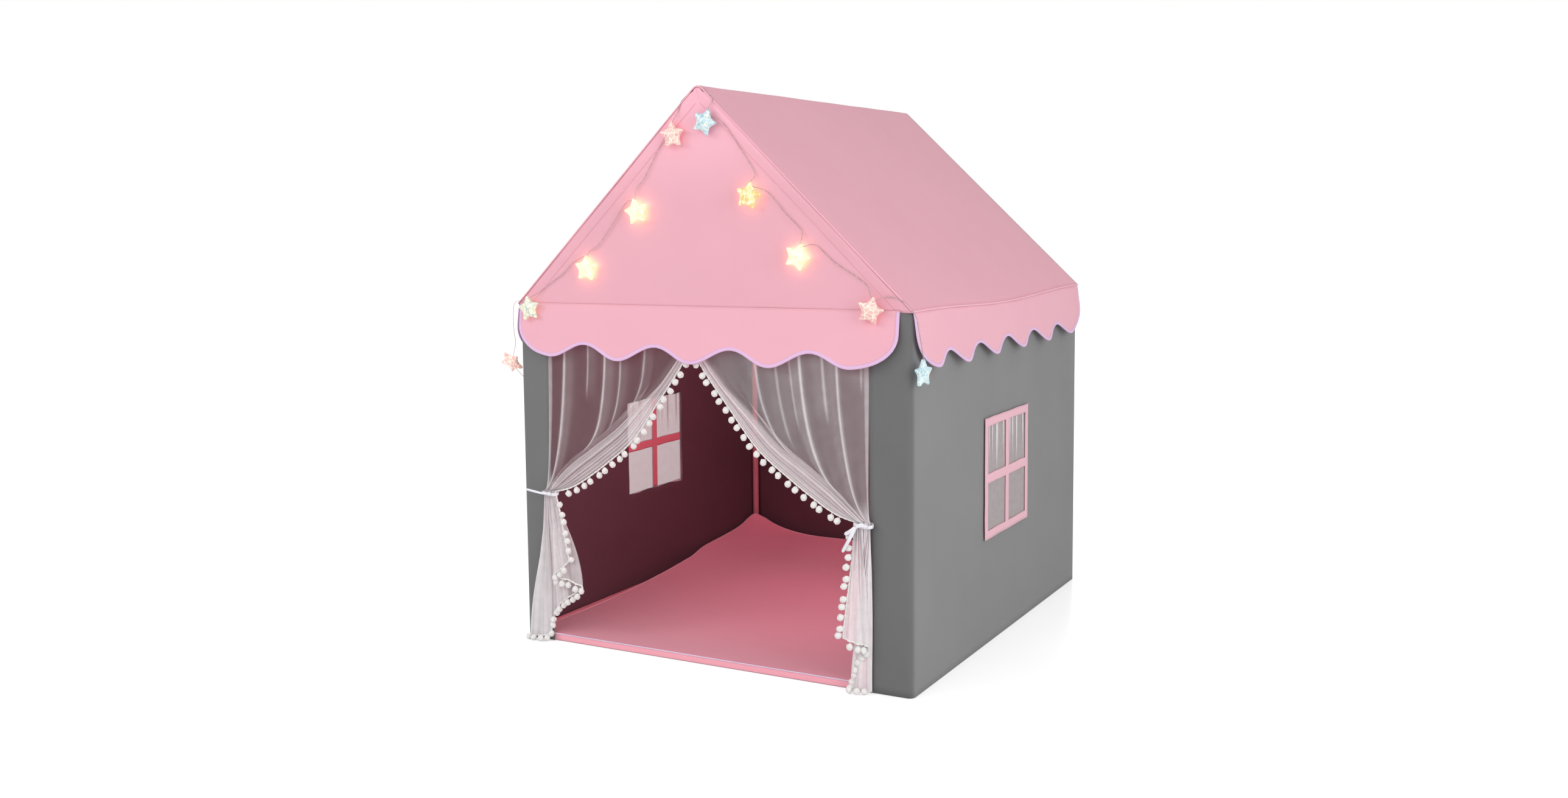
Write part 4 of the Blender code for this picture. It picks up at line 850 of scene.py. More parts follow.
def wall_place(side, plan):
    """The place function of one side wall."""
    def place(u, v):
        x, y = plan[round(u * (len(plan) - 1))]
        z = HEM_LIFT + (WALL_TOP - eave_drop(y) - HEM_LIFT) * v
        free = soft((POST_Y - abs(y)) / 0.12) * soft(v / 0.1) * soft((1 - v) / 0.1)
        sag = WALL_SAG * free * math.sin(math.pi * v)
        dent = crease((y * 1.6, z * 0.9, side), 6, WALL_DENT) * free
        return Vector((x - side * (sag + max(-dent, 0)), y, z))
    return place


print("side walls, along their plan:", [round(line_length(plan_line(side)), 3) for name, side in SIDES])


# %% Cut windows out of cloth
def cut_out(piece, openings):
    """Cut openings, each a box in Y and Z: straight bisects first, then the faces between go."""
    for axis, plane in ((0, (0, 1, 0)), (1, (0, 0, 1))):
        for place in sorted({edge for box in openings for edge in box[2 * axis:2 * axis + 2]}):
            edit(piece)
            bpy.ops.mesh.bisect(plane_co=Vector(plane) * place, plane_no=plane)
    edit(piece, "FACE", lambda middle: any(a < middle.y < b and c < middle.z < d for a, b, c, d in openings))
    bpy.ops.mesh.delete(type="FACE")
    put_down()


def pucker_window(wall, side):
    """Let the cut edges of the window run a little unevenly, as sewing leaves them."""
    for vert in wall.data.vertices:
        off_y = abs(vert.co.y - WINDOW_Y) - WINDOW_WIDTH / 2
        off_z = abs(vert.co.z - WINDOW_Z) - WINDOW_HEIGHT / 2
        if abs(off_y) < 0.001 or abs(off_z) < 0.001:
            near = soft((0.004 - off_y) / 0.002) * soft((0.004 - off_z) / 0.002)
            vert.co.y += near * crease((vert.co.z, side, vert.co.y), 17, PUCKER)
            vert.co.z += near * crease((vert.co.y, vert.co.z, side), 17, PUCKER)


print("window hole in Y and Z:", [round(edge, 3) for edge in WINDOW])

# %% Hang the side walls
for side_name, side in SIDES:
    plan = plan_line(side)
    width = line_length(plan)
    wall = cut_cloth(f"wall_sheet_{side_name}", width, WALL_TOP, len(plan) - 1, 44, wall_place(side, plan),
                     WALL_CLOTH, WALL_INNER_FACE)
    face_out(wall, (side, 0, 0))
    cut_out(wall, [WINDOW])
    pucker_window(wall, side)
    # Painted shade: the narrow strips beside the door are darkened, more on the right than on the left.
    mark(wall, "painted_shading", lambda vert: 1 - (1 - FRONT_PAINTED_SHADE[side]) * soft((-POST_Y - vert.co.y) / 0.012))
    thicken(wall, offset=-1, inner=1)
    rest(wall, "tent", f"wall_{side_name}", slot="grey_cloth")
    print(f"wall {side_name}: cut", round(width, 3), "wide")


# %% Back wall
BACK_SAG = 0.004


def back_place(u, v):
    """A point of the back wall."""
    x = (2 * u - 1) * (POST_X - 0.0008)
    z = HEM_LIFT + (WALL_TOP - HEM_LIFT) * v
    free = soft((POST_X - abs(x)) / 0.12) * soft(v / 0.1) * soft((1 - v) / 0.1)
    sag = BACK_SAG * free * math.sin(math.pi * v)
    return Vector((x, HALF_DEPTH - 0.0002 - sag + crease((x, 0, z), 6, 0.001) * free, z))


back = cut_cloth("wall_sheet_back", 2 * POST_X, WALL_TOP, 60, 44, back_place, WALL_CLOTH, WALL_INNER_FACE)
# The back wall carries no painted shade.
mark(back, "painted_shading", lambda vert: 1.0)
face_out(back, (0, 1, 0))
thicken(back, offset=-1, inner=1)
rest(back, "tent", "wall_back", slot="grey_cloth")
print("back wall faces:", len(back.data.polygons))


# %% [markdown]
# A valance hangs from the eave all round and ends in scallops bound with lilac tape. Its
# lower edge is one formula, shared by the cloth and by the tape, so that they can't part: a
# rounded end, then lobes like a cosine, a little shorter near the ends. Their tips curl
# outwards. The tape is a flat strip laid along that same edge, and thicker than the cloth,
# because a binding is folded.

# %% Shape of a valance
VALANCE_DROP = 0.134
SCALLOP = 0.036
END_ROUND = 0.075
END_LIFT = 0.006
TIP_CURL = 0.006
TILT = math.radians(7.5)
TAPE_WIDTH = 0.0080
TAPE_OVER = 0.0006
VALANCE_RIPPLE = 0.0022
RIM_STEP = 0.005


def lower_edge(across, start, end, lobes, shift):
    """How far below the eave the scalloped edge is; shift moves the lobes between the two ends."""
    across += shift * soft((across - start - 0.06) / 0.16) * soft((end - across) / 0.10)
    half_lobe = (end - start) / lobes / 2
    from_end = min(across - start, end - across)
    full = VALANCE_DROP - END_LIFT * soft((0.17 - from_end) / 0.1)
    if from_end < half_lobe:
        turn = clamp(1 - from_end / half_lobe)
        return full - END_ROUND * (1 - math.sqrt(1 - turn * turn))
    return full - SCALLOP * (1 + math.cos(math.pi * (across - start) / half_lobe)) / 2


def edge_stations(start, end, lobes):
    """Places across a valance, closer together in its rounded ends."""
    half_lobe = (end - start) / lobes / 2
    ends = [half_lobe * (1 - math.cos(math.pi / 2 * k / 10)) for k in range(10)]
    steps = 14 * (lobes - 1)
    middle = [start + half_lobe + (end - start - 2 * half_lobe) * k / steps for k in range(steps + 1)]
    return [start + x for x in ends] + middle + [end - x for x in reversed(ends)]


def valance_point(across, down, matrix, top):
    """A point on a valance from its place along the eave and down the cloth."""
    ripple = VALANCE_RIPPLE * math.sin(across * 31) * (down / VALANCE_DROP) ** 2
    ripple += crease((across, 0, down), 9, 0.0012)
    lift = 0.0003 + 0.0010 * soft(down / 0.015) + TIP_CURL * soft((down - 0.095) / 0.045)
    return matrix @ Vector((across, (top(across) - down) * math.cos(TILT),
                            lift + down * math.sin(TILT) + ripple * clamp(down / 0.02)))


def upright(turn, middle):
    """A plane that stands up, faces outward and has its X along the eave."""
    return Matrix.Translation(middle) @ Matrix.Rotation(turn, 4, "Z") @ Matrix.Rotation(math.pi / 2, 4, "X")


def level(across):
    """The top of a valance along a straight eave."""
    return 0.0


def sagging(across):
    """The top of a valance along an eave that sags."""
    return -0.0012 - eave_drop(across)


print("places across a metre with five lobes:", len(edge_stations(-0.5, 0.5, 5)))

# %% Sew the valances
# Each valance: name, two ends, count of lobes, turn, middle of its eave, top, shift of the lobes.
VALANCES = (
    ("front", -0.519, 0.495, 5, 0, (0, FRONT, EAVE), level, 0.006),
    ("back", -0.501, 0.501, 5, math.pi, (0, HALF_DEPTH, EAVE), level, 0),
    ("right", -0.601, 0.601, 6, math.pi / 2, (HALF_WIDTH, 0, EAVE), sagging, 0.024),
    ("left", -0.601, 0.601, 6, -math.pi / 2, (-HALF_WIDTH, 0, EAVE), sagging, 0),
)


def valance(name, start, end, lobes, turn, middle, top, shift):
    """One valance with its binding."""
    matrix = upright(turn, middle)
    stations = edge_stations(start, end, lobes)
    lengths = [lower_edge(x, start, end, lobes, shift) + top(x) for x in stations]

    def place(u, v):
        index = round(u * (len(stations) - 1))
        return valance_point(stations[index], lengths[index] * (1 - v), matrix, top)

    cloth = cut_cloth(f"valance_cloth_{name}", end - start, VALANCE_DROP, len(stations) - 1, 14, place,
                      GABLE_CLOTH)
    inverse = matrix.inverted()
    lay_uv(cloth, lambda co: (inverse @ co).xy)
    outward = matrix.to_3x3() @ Vector((0, 0, 1))
    face_out(cloth, outward)
    thicken(cloth)
    rim = [Vector((start, length)) for length in (0.002, 0.03, 0.05)]
    rim += [Vector(point) for point in zip(stations, lengths)]
    rim += [Vector((end, length)) for length in (0.05, 0.03, 0.002)]
    rim = even_line(rim, RIM_STEP)

    def tape_place(u, v):
        index = round(u * (len(rim) - 1))
        run = heading(rim, index, 2)
        across, down = rim[index] + Vector((run.y, -run.x)) * (TAPE_WIDTH * v - TAPE_OVER)
        return valance_point(across, down, matrix, top)

    tape = cut_cloth(f"valance_binding_{name}", len(rim) * RIM_STEP, TAPE_WIDTH, len(rim) - 1, 3,
                     tape_place, BINDING_TAPE)
    face_out(tape, outward)
    thicken(tape, 2 * CLOTH)
    rest(tape, "tent", slot="pale_pink_cloth")
    rest(cloth, "tent", f"valance_{name}", slot="pale_pink_cloth")


for row in VALANCES:
    valance(*row)


# %% [markdown]
# The door curtains are sheer voile. What makes voile read as voile is that it is see-through
# where it hangs single and milky where it lies in folds, so its opacity has to follow the
# gathers. Each curtain carries a value per point, "gather", which says how many layers of
# cloth lie there, and the finish turns it into opacity. A fresnel trick would change with
# the camera, while a painted value stays with the cloth.

# %% Sheer finish
def sheer(name, colour, single):
    """Voile: single is the opacity of one layer, and the gather value counts the layers."""
    made, tree, shader = blank(name, 0.6, Sheen_Weight=0.4, Sheen_Roughness=0.4, Specular_IOR_Level=0.2)
    uv = add(tree, "UVMap").outputs["UV"]
    slub = speckle(tree, uv, 38.0, 3.0, 0.6)
    uneven = math_node(tree, "ADD", math_node(tree, "MULTIPLY", slub, 0.35), 0.83)
    clear = math_node(tree, "POWER", 1 - single, math_node(tree, "MULTIPLY", marked(tree, "gather"), uneven))
    tree.links.new(math_node(tree, "SUBTRACT", 1.0, clear), shader.inputs["Alpha"])
    dress(tree, shader, tones(tree, slub, (0.3, tuple(c * 0.94 for c in colour)), (0.7, colour)),
          speckle(tree, uv, 700.0), 0.0003, 0.4)
    return made


VOILE = sheer("door_voile", (0.93, 0.88, 0.90), 0.14)
print("voile:", VOILE.name)

# %% [markdown]
# Above its tie a curtain hangs flat from the seam, then its free edge is pulled across to the
# tie in a long curve. The cloth near that edge is bunched into a milky band that widens
# downwards, and thin creases run from the seam to the tie. Below the tie it falls open again,
# and its hem folds back and forth like an S, which is where the zigzag of pom-poms comes
# from. So the place of a point is worked out in two parts, above and below the tie.

# %% Curtain sizes
TIE_HEIGHT = 0.379
NECK_TOP = 0.387
TIE_Y = -0.6187
CURTAIN_Y = -0.604
CURTAIN_TOP = WALL_TOP
JAMBS = {-1: -0.4397, 1: 0.4227}
MEETS = {-1: -0.0295, 1: -0.0245}
TIES = {-1: -0.4320, 1: 0.4150}
TIE_HALF = 0.016
COLUMNS = 150
UPPER = 64
LOWER = 48
BAND_CLOTH = 0.62
STREAK_DEPTH = 0.0035
BAND_DEPTH = 0.004
LOWER_RIPPLE = 0.0022
HEM_FLOOR = 0.0035
# The free edge: how far from the tie to where the curtains meet, and how far down.
FREE_EDGE = ((1.0, 0.0), (0.985, 0.18), (0.945, 0.28), (0.765, 0.5), (0.6, 0.69), (0.42, 0.82), (0.25, 0.925),
             (0.14, 0.977))
# Where the bunched band begins: a share across from the jamb, and a share down to the tie.
BANDS = {
    -1: ((0.97, 0.0), (0.96, 0.2), (0.93, 0.32), (0.81, 0.45), (0.65, 0.64), (0.48, 0.77), (0.30, 0.90),
         (0.45, 1.0)),
    1: ((0.97, 0.0), (0.965, 0.2), (0.94, 0.32), (0.87, 0.42), (0.80, 0.55), (0.70, 0.68), (0.57, 0.82),
        (0.46, 0.91), (0.45, 1.0)),
}
# How the creases run: their spread at the neck, and how late they bend towards it.
SLANTS = {-1: (1.0, 2.2), 1: (0.15, 2.4)}
# The hem from the jamb to its free end, folded back and forth.
HEMS = {
    -1: ((-0.511, -0.612, 0.007), (-0.479, -0.619, 0.010), (-0.446, -0.613, 0.022), (-0.436, -0.608, 0.070),
         (-0.408, -0.612, 0.104), (-0.363, -0.618, 0.133), (-0.343, -0.616, 0.149), (-0.385, -0.624, 0.166),
         (-0.422, -0.627, 0.172), (-0.389, -0.630, 0.199), (-0.3717, -0.631, 0.2167)),
    1: ((0.4315, -0.612, 0.006), (0.405, -0.619, 0.004), (0.381, -0.617, 0.009), (0.390, -0.610, 0.050),
        (0.404, -0.612, 0.086), (0.427, -0.620, 0.108), (0.399, -0.627, 0.114), (0.3724, -0.631, 0.1225)),
}
# The milky creases: their place across the cloth, where they start and end going down, their strength.
STREAKS = {
    -1: ((0.0800, 0.0, 1.0, 1.1), (0.1867, 0.0, 0.45, 0.6), (0.2667, 0.0, 1.0, 1.1), (0.3333, 0.0, 0.55, 0.7),
         (0.4467, 0.0, 0.5, 0.6)),
    1: ((0.1133, 0.0, 1.0, 1.2), (0.2467, 0.0, 1.0, 1.3), (0.1667, 0.1, 0.5, 0.7), (0.2867, 0.1, 0.5, 0.6),
        (0.3400, 0.2, 0.55, 0.5), (0.4133, 0.15, 0.6, 0.8), (0.0267, 0.2, 0.4, 0.5)),
}


def at_share(points, share):
    """The point at a share of the smooth curve through the points."""
    return through(points, clamp(share) * (len(points) - 1))


def spread(points, count):
    """Evenly spaced points along the smooth curve through the points."""
    fine = [at_share(points, k / 400) for k in range(401)]
    return even_line(fine, line_length(fine) / count * 0.99999)[:count] + [fine[-1]]


HEM_LINES = {side: spread(HEMS[side], COLUMNS) for side in (-1, 1)}
print("hem lengths:", [round(line_length(line), 3) for line in HEM_LINES.values()])


# %% A curtain above its tie
def band_split(side, share):
    """Where the gathered band begins, as a share across from the jamb."""
    for (low, start), (high, end) in zip(BANDS[side], BANDS[side][1:]):
        if share <= end:
            return low + (high - low) * (share - start) / (end - start)
    return BANDS[side][-1][0]


def across_share(side, u, share, outer, free):
    """How far across from the jamb to the free edge the cloth at u hangs: straight down, then bunched."""
    split = band_split(side, share)
    if u >= BAND_CLOTH:
        return split + (u - BAND_CLOTH) / (1 - BAND_CLOTH) * (1 - split)
    even = u / BAND_CLOTH
    spread_share, bend = SLANTS[side]
    seam_at = JAMBS[side] + (MEETS[side] - JAMBS[side]) * even * BANDS[side][0][0]
    neck_at = outer + (free - outer) * even * split * spread_share
    hangs = seam_at + (neck_at - seam_at) * share ** bend
    straight = max((hangs - outer) / (free - outer), 0.0001)
    bunched = (straight ** -10 + split ** -10) ** -0.1
    blend = soft((u - BAND_CLOTH + 0.14) / 0.14)
    return bunched + (even * split - bunched) * blend


def lasting(share, start, end, rise, fall):
    """1 between a crease's start and its end, with soft ends; one that ends at the tie doesn't fade."""
    return soft((share - start) / rise) * soft((end - share) / fall + (end >= 1))


def curtain_upper(side, u, share):
    """A point above the tie."""
    jamb, meet, tie = JAMBS[side], MEETS[side], TIES[side]
    drop = CURTAIN_TOP - NECK_TOP
    neck = Vector((tie + side * TIE_HALF, NECK_TOP))
    outer = Vector((jamb, CURTAIN_TOP - drop * share)).lerp(neck, share ** 6)
    across, down = at_share(FREE_EDGE + ((TIE_HALF / abs(meet - tie), 1.0),), share)
    free = Vector((tie + (meet - tie) * across, CURTAIN_TOP - drop * down))
    x, z = outer.lerp(free, across_share(side, u, share, outer.x, free.x))
    depth = 0.0006 + 0.0052 * soft(share * 2.2)
    wave = 0.6 * math.cos(2 * math.pi * 6 * u + 1.3 * share)
    wave += 0.4 * math.cos(2 * math.pi * 13 * u - 2.0 * share + side)
    fold = depth * math.sin(math.pi * clamp(u)) ** 0.5 * wave
    for centre, start, end, power in STREAKS[side]:
        window = lasting(share, start, end, 0.08, 0.08)
        fold -= STREAK_DEPTH * power * window * math.exp(-((u - centre) / 0.012) ** 2) * soft(share * 2)
    band = soft((u - BAND_CLOTH + 0.03) / 0.1)
    fold -= band * BAND_DEPTH * soft(share * 2) * (1 + math.sin(2 * math.pi * 21 * u))
    return Vector((x, CURTAIN_Y + (TIE_Y - CURTAIN_Y) * share ** 3 + fold, z))


print("left curtain, middle of the seam:", [round(c, 3) for c in curtain_upper(-1, 0.5, 0.0)])


# %% A curtain below its tie
def curtain_lower(side, u, share):
    """A point below the tie."""
    hem = HEM_LINES[side][round(u * COLUMNS)]
    start = curtain_upper(side, u, 1.0)
    bulge = soft((u - 0.4) / 0.2) * soft((1.0 - u) / 0.2) * (0.6 if side > 0 else 1.0)
    flare = share + (math.sin(math.pi / 2 * share) - share) * bulge
    flare -= 0.09 * math.sin(2 * math.pi * share) * max(0.4 - u, 0) / 0.4
    x = start.x + (hem.x - start.x) * flare
    z = start.z + (hem.z - start.z) * share
    ripple = math.sin(2 * math.pi * 11 * u + 2.5 * share)
    ripple += 0.6 * math.sin(2 * math.pi * 23 * u + side - 1.5 * share)
    y = start.y + (hem.y - start.y) * soft(share * 1.3) + LOWER_RIPPLE * ripple * soft(share * 3)
    x += 0.0015 * math.sin(2 * math.pi * 9 * u + 4 * share) * soft(share * 3) * soft((1 - share) * 4 + 0.3)
    return Vector((x, y, max(z, HEM_FLOOR)))


def curtain_place(side, u, v):
    """A point of a curtain, u from the jamb to the free edge and v from the seam to the hem."""
    row = v * (UPPER + LOWER)
    if row <= UPPER:
        return curtain_upper(side, u, row / UPPER)
    return curtain_lower(side, u, (row - UPPER) / LOWER)


print("left curtain, free end of the hem:", [round(c, 3) for c in curtain_place(-1, 1, 1)])


# %% Layers of voile
def layers(side, u, v):
    """How many layers of cloth lie at a point."""
    row = v * (UPPER + LOWER)
    edge = 2.5 * soft((0.018 - u) / 0.006)
    if row > UPPER:
        share = (row - UPPER) / LOWER
        lines = 0.5 + 0.5 * math.sin(2 * math.pi * 17 * u + 1.2 * side) * math.sin(2 * math.pi * 7 * u + 2)
        thick = 6.0 if side > 0 else 5.4 * soft((0.54 - u) / 0.12) - 0.4
        return 2.2 + thick + 4.0 * math.exp(-share * 5) + 3.4 * lines * (1 - 0.35 * share) + edge
    share = row / UPPER
    result = edge + (1.5 if side > 0 else 0.55)
    for centre, start, end, power in STREAKS[side]:
        window = lasting(share, start, end, 0.06, 0.10)
        result += 5.0 * power * window * math.exp(-((u - centre) / (0.003 + 0.004 * share)) ** 2)
        result += 0.7 * power * window * math.exp(-((u - centre - 0.02) / 0.022) ** 2)
    band = soft((u - BAND_CLOTH + 0.03) / 0.11)
    result += band * (6.0 + 2.6 * math.sin(2 * math.pi * 15 * u + side) * math.sin(2 * math.pi * 4.3 * u))
    return result + 5.0 * soft((share - 0.82) / 0.18)


print("layers halfway down the left curtain:", [round(layers(-1, u, 0.5), 1) for u in (0.1, 0.5, 0.9)])


# %% Hang the door curtains
CURTAIN_CUT = (0.41, 0.846)


def hang_sheer(name, cut, columns, rows, layers_at, hang, finish, outward):
    """Voile cut flat, marked with its layers, then hung; one face, because voile is one layer thick."""
    piece = cut_cloth(name, *cut, columns, rows, lambda u, v: Vector((u, v, 0)), finish)
    mark(piece, "gather", lambda vert: layers_at(vert.co.x, vert.co.y))
    for vert in piece.data.vertices:
        vert.co = hang(vert.co.x, vert.co.y)
    return face_out(piece, outward)


door_curtains = {}
for side_name, side in SIDES:
    curtain = hang_sheer(f"door_curtain_sheet_{side_name}", CURTAIN_CUT, COLUMNS, UPPER + LOWER,
                         lambda u, v: layers(side, u, v), lambda u, v: curtain_place(side, u, v),
                         VOILE, (0, -1, 0))
    door_curtains[side] = curtain
    print("curtain", side_name, "area:", round(sum(face.area for face in curtain.data.polygons), 3))

# %% [markdown]
# The trim is a narrow braid with a yarn pom-pom every 20 to 25 mm. One pom-pom is made: a ball
# of a few hundred faces whose points are pushed in and out a little for the cut ends of the
# yarn, with a short thread on top. Each copy is turned differently, so that no two show the
# same tufts, and all are joined with the braid into one piece, because they are sewn on.

# %% One pom-pom
POMPOM_RADIUS = 0.0074
THREAD_LENGTH = 0.0052
FLOOR_GAP = 0.0008
BRAID_RADIUS = 0.0021
BRAID_STEP = 0.004
EDGE_PITCH, FALL_PITCH, HEM_PITCH = 0.0250, 0.0225, 0.0200


def join(piece, parts):
    """Join the parts into a piece."""
    take(piece)
    for part in parts:
        part.select_set(True)
    bpy.ops.object.join()
    return bpy.context.object


pompom = added(bpy.ops.mesh.primitive_ico_sphere_add, "pompom_pattern", subdivisions=3, radius=POMPOM_RADIUS)
for vert in pompom.data.vertices:
    tuft = noise.noise(vert.co * 420) * 0.16 + noise.noise(vert.co * 160) * 0.14
    vert.co *= 1 + tuft
    vert.co.z *= 1.06
    vert.co.z -= POMPOM_RADIUS + THREAD_LENGTH
bpy.ops.object.shade_smooth()
thread = added(bpy.ops.mesh.primitive_cylinder_add, "pompom_thread", vertices=6, radius=0.0008, depth=0.008,
               location=(0, 0, -0.004))
bpy.ops.object.transform_apply(location=True, rotation=True, scale=True)
pompom = join(pompom, [thread])
print("pom-pom faces:", len(pompom.data.polygons))

yarn, tree, shader = blank("yarn", 0.9, Sheen_Weight=0.6, Sheen_Roughness=0.5, Specular_IOR_Level=0.1)
place = add(tree, "TexCoord").outputs["Object"]
fluff = speckle(tree, place, 520.0, 4.0, 0.7)
dress(tree, shader, tones(tree, fluff, (0.3, (0.74, 0.73, 0.71)), (0.62, (0.93, 0.92, 0.90))),
      fluff, 0.0015, 0.7)


# %% Sew on the trims
def hang_pompom(parts, top, direction):
    """A turned copy of the pom-pom, hung from a point and added to the parts."""
    number = len(parts)
    turn = Vector((0, 0, -1)).rotation_difference(Vector(direction).normalized()).to_matrix().to_4x4()
    matrix = Matrix.Translation(top) @ turn @ Matrix.Rotation(number * 2.4, 4, "Z")
    parts.append(copy_of(pompom, f"pompom_{number}", matrix))


def uneven(line, pitch):
    """Points about a pitch apart, as a hand spaces them."""
    fine = even_line(line, pitch / 12)
    chosen, number = [], 12
    while number < len(fine):
        chosen.append(fine[number])
        number += 12 + round(2.4 * math.sin(len(chosen) * 2.4))
    return chosen


def trim(side, side_name):
    """The braid down the free edge and along the hem, with its pom-poms."""
    rows = UPPER + LOWER
    inward = Vector((-side, 0, -1)).normalized()
    edge = [curtain_place(side, 1, row / rows) for row in range(rows + 1)]
    upper = [point + inward * 0.002 for point in edge[:UPPER + 1] if point.z < 0.752]
    lower = [point + Vector((-side, -0.3, 0)) * 0.002 for point in edge[UPPER + 1:]]
    hem = [curtain_place(side, k / COLUMNS, 1) + Vector((0, -0.001, 0.001)) for k in range(COLUMNS, -1, -1)]
    line = even_line(upper + lower + hem, BRAID_STEP)
    for point in line:
        point.z = max(point.z, 0.004)
    braid = tube(f"pompom_trim_strip_{side_name}", line, BRAID_RADIUS,
                 radii=[1 + 0.22 * math.sin(number * 2.1) for number in range(len(line))])
    parts = []
    for each in uneven(upper, EDGE_PITCH):
        if each.z > TIE_HEIGHT + 0.012:
            hang_pompom(parts, each, (-side * 0.38 + 0.22 * math.sin(len(parts) * 2.7), -0.15, -1))
    for each in uneven(lower, FALL_PITCH):
        if each.z < TIE_HEIGHT - 0.008:
            hang_pompom(parts, each, (-side * 0.8, -0.35, -0.55 + 0.25 * math.sin(len(parts) * 2.7)))
    for each in uneven(hem, HEM_PITCH):
        reach = THREAD_LENGTH + 2 * POMPOM_RADIUS
        lift = clamp((reach + 0.001 - each.z) / reach)
        hang_pompom(parts, each, (0, -0.25 - lift, -1 + lift))
    for part in parts:
        lowest = min(vert.co.z for vert in part.data.vertices)
        if lowest < FLOOR_GAP:
            part.data.transform(Matrix.Translation((0, 0, FLOOR_GAP - lowest)))
    piece = join(braid, parts)
    piece.data.materials.clear()
    piece.data.materials.append(yarn)
    print("trim", side_name, "pom-poms:", len(parts))
    return rest(piece, "tent", f"pompom_trim_{side_name}", slot="pompom_yarn")


for side_name, side in SIDES:
    edging = trim(side, side_name)
    curtain = rest(door_curtains[side], "tent", f"door_curtain_{side_name}", slot="sheer_cloth")
drop(pompom)

# %% [markdown]
# A satin ribbon holds each curtain to its jamb. It is a flat band all the way round, then a
# small knot, and loose ends that stick out, because satin is springy. A ribbon is a long grid
# four faces wide laid along a line, with its width square to the line.

# %% Satin ribbon
KNOTS = {-1: 0.006, 1: 0.010}
TAIL_WIDTHS = {-1: 0.0055, 1: 0.0085}
BAND_WIDTH = 0.008
RING_ACROSS = 0.0228
RING_DEPTH = 0.0128
KNOT_RADIUS = 0.0055
RIBBON_THICK = 0.0005
satin, tree, shader = blank("satin", 0.32, Sheen_Weight=0.3, Coat_Weight=0.25, Coat_Roughness=0.3)
uv = add(tree, "UVMap").outputs["UV"]
bands = add(tree, "TexWave", {"bands_direction": "Y"}, Vector=uv, Scale=420.0, Distortion=1.0)
strands = bands.outputs["Fac"]
dress(tree, shader, tones(tree, strands, (0.2, (0.80, 0.79, 0.86)), (0.8, (0.90, 0.89, 0.95))),
      strands, 0.0002, 0.5)


def ribbon(name, line, width, facing, ends=1.0):
    """A flat band along a line, its broad side square to facing(share)."""
    count = len(line) - 1

    def place(u, v):
        index = round(u * count)
        across = heading(line, index).cross(facing(u)).normalized()
        crown = facing(u) * 0.0008 * math.cos((v - 0.5) * math.pi)
        taper = 1 - (1 - ends) * soft((u - 0.9) / 0.1)
        return line[index] + across * (v - 0.5) * width * taper + crown

    return thicken(cut_cloth(name, line_length(line), width, count, 4, place, satin), RIBBON_THICK)


print("ribbon finish:", satin.name)


# %% Tie the curtains
def around(u):
    """Outward on the band round the neck."""
    return Vector((math.cos(2 * math.pi * u) * 0.5, math.sin(2 * math.pi * u), 0)).normalized()


def tie(side, side_name, tails):
    """The band round the neck, the knot and the tails, joined."""
    middle = Vector((TIES[side], TIE_Y, TIE_HEIGHT))
    ring = []
    for k in range(49):
        angle = 2 * math.pi * k / 48
        ring.append(middle + Vector((RING_ACROSS * math.cos(angle), RING_DEPTH * math.sin(angle),
                                     0.0016 * math.sin(2 * angle))))
    band = ribbon(f"curtain_tie_band_{side_name}", ring, BAND_WIDTH, around)
    knot_at = middle + Vector((KNOTS[side], -0.0150, 0.001))
    knot = added(bpy.ops.mesh.primitive_uv_sphere_add, f"tie_knot_{side_name}", segments=16, ring_count=10,
                 radius=KNOT_RADIUS, location=knot_at)
    edit(knot, "VERT")
    bpy.ops.transform.resize(value=(1.25, 0.7, 0.9), center_override=knot_at)
    bpy.ops.transform.vertex_random(offset=0.0006, seed=3)
    take(knot)
    bpy.ops.object.shade_smooth()
    bpy.ops.object.transform_apply(location=True, rotation=True, scale=True)
    knot.data.materials.append(satin)
    parts = [knot]
    for number, tail in enumerate(tails):
        line = even_line([knot_at + Vector(at_share(tail, k / 40)) for k in range(41)], 0.003)

        def facing(u):
            return Vector((0.25 * math.sin(5 * u + number), -1, 0.2)).normalized()

        parts.append(ribbon(f"tie_tail_{side_name}_{number}", line, TAIL_WIDTHS[side], facing, 0.35))
    return rest(join(band, parts), "tent", f"curtain_tie_{side_name}", slot="ribbon")


tie(-1, "left", (
    ((0, 0, 0), (-0.020, -0.004, 0.001), (-0.045, -0.004, 0.004), (-0.0697, -0.001, 0.0063)),
))
tie(1, "right", (
    ((-0.022, -0.001, -0.003), (-0.028, -0.004, -0.009), (-0.038, -0.004, -0.016), (-0.048, -0.002, -0.021)),
    ((-0.022, -0.001, -0.003), (-0.029, -0.005, -0.019), (-0.040, -0.006, -0.040), (-0.053, -0.003, -0.061)),
    ((0, 0, 0), (-0.007, -0.003, 0.003), (-0.014, -0.003, 0.001), (-0.022, -0.001, -0.003)),
))


# %% [markdown]
# A window is four layers. Outside is a pink frame with a cross, sewn on as one flat piece with
# turned edges. Behind it hangs a small gathered curtain that fades out below, then comes a
# fine net that lets the daylight through, and inside there is a cross of crimson tape, which is
# painted shade on the cross as seen from inside. Frame and cross start as a plane that is cut
# with straight bisects where the strips' edges are, and the panes are deleted.

# %% Net finish
NET_THREAD = 0.0016


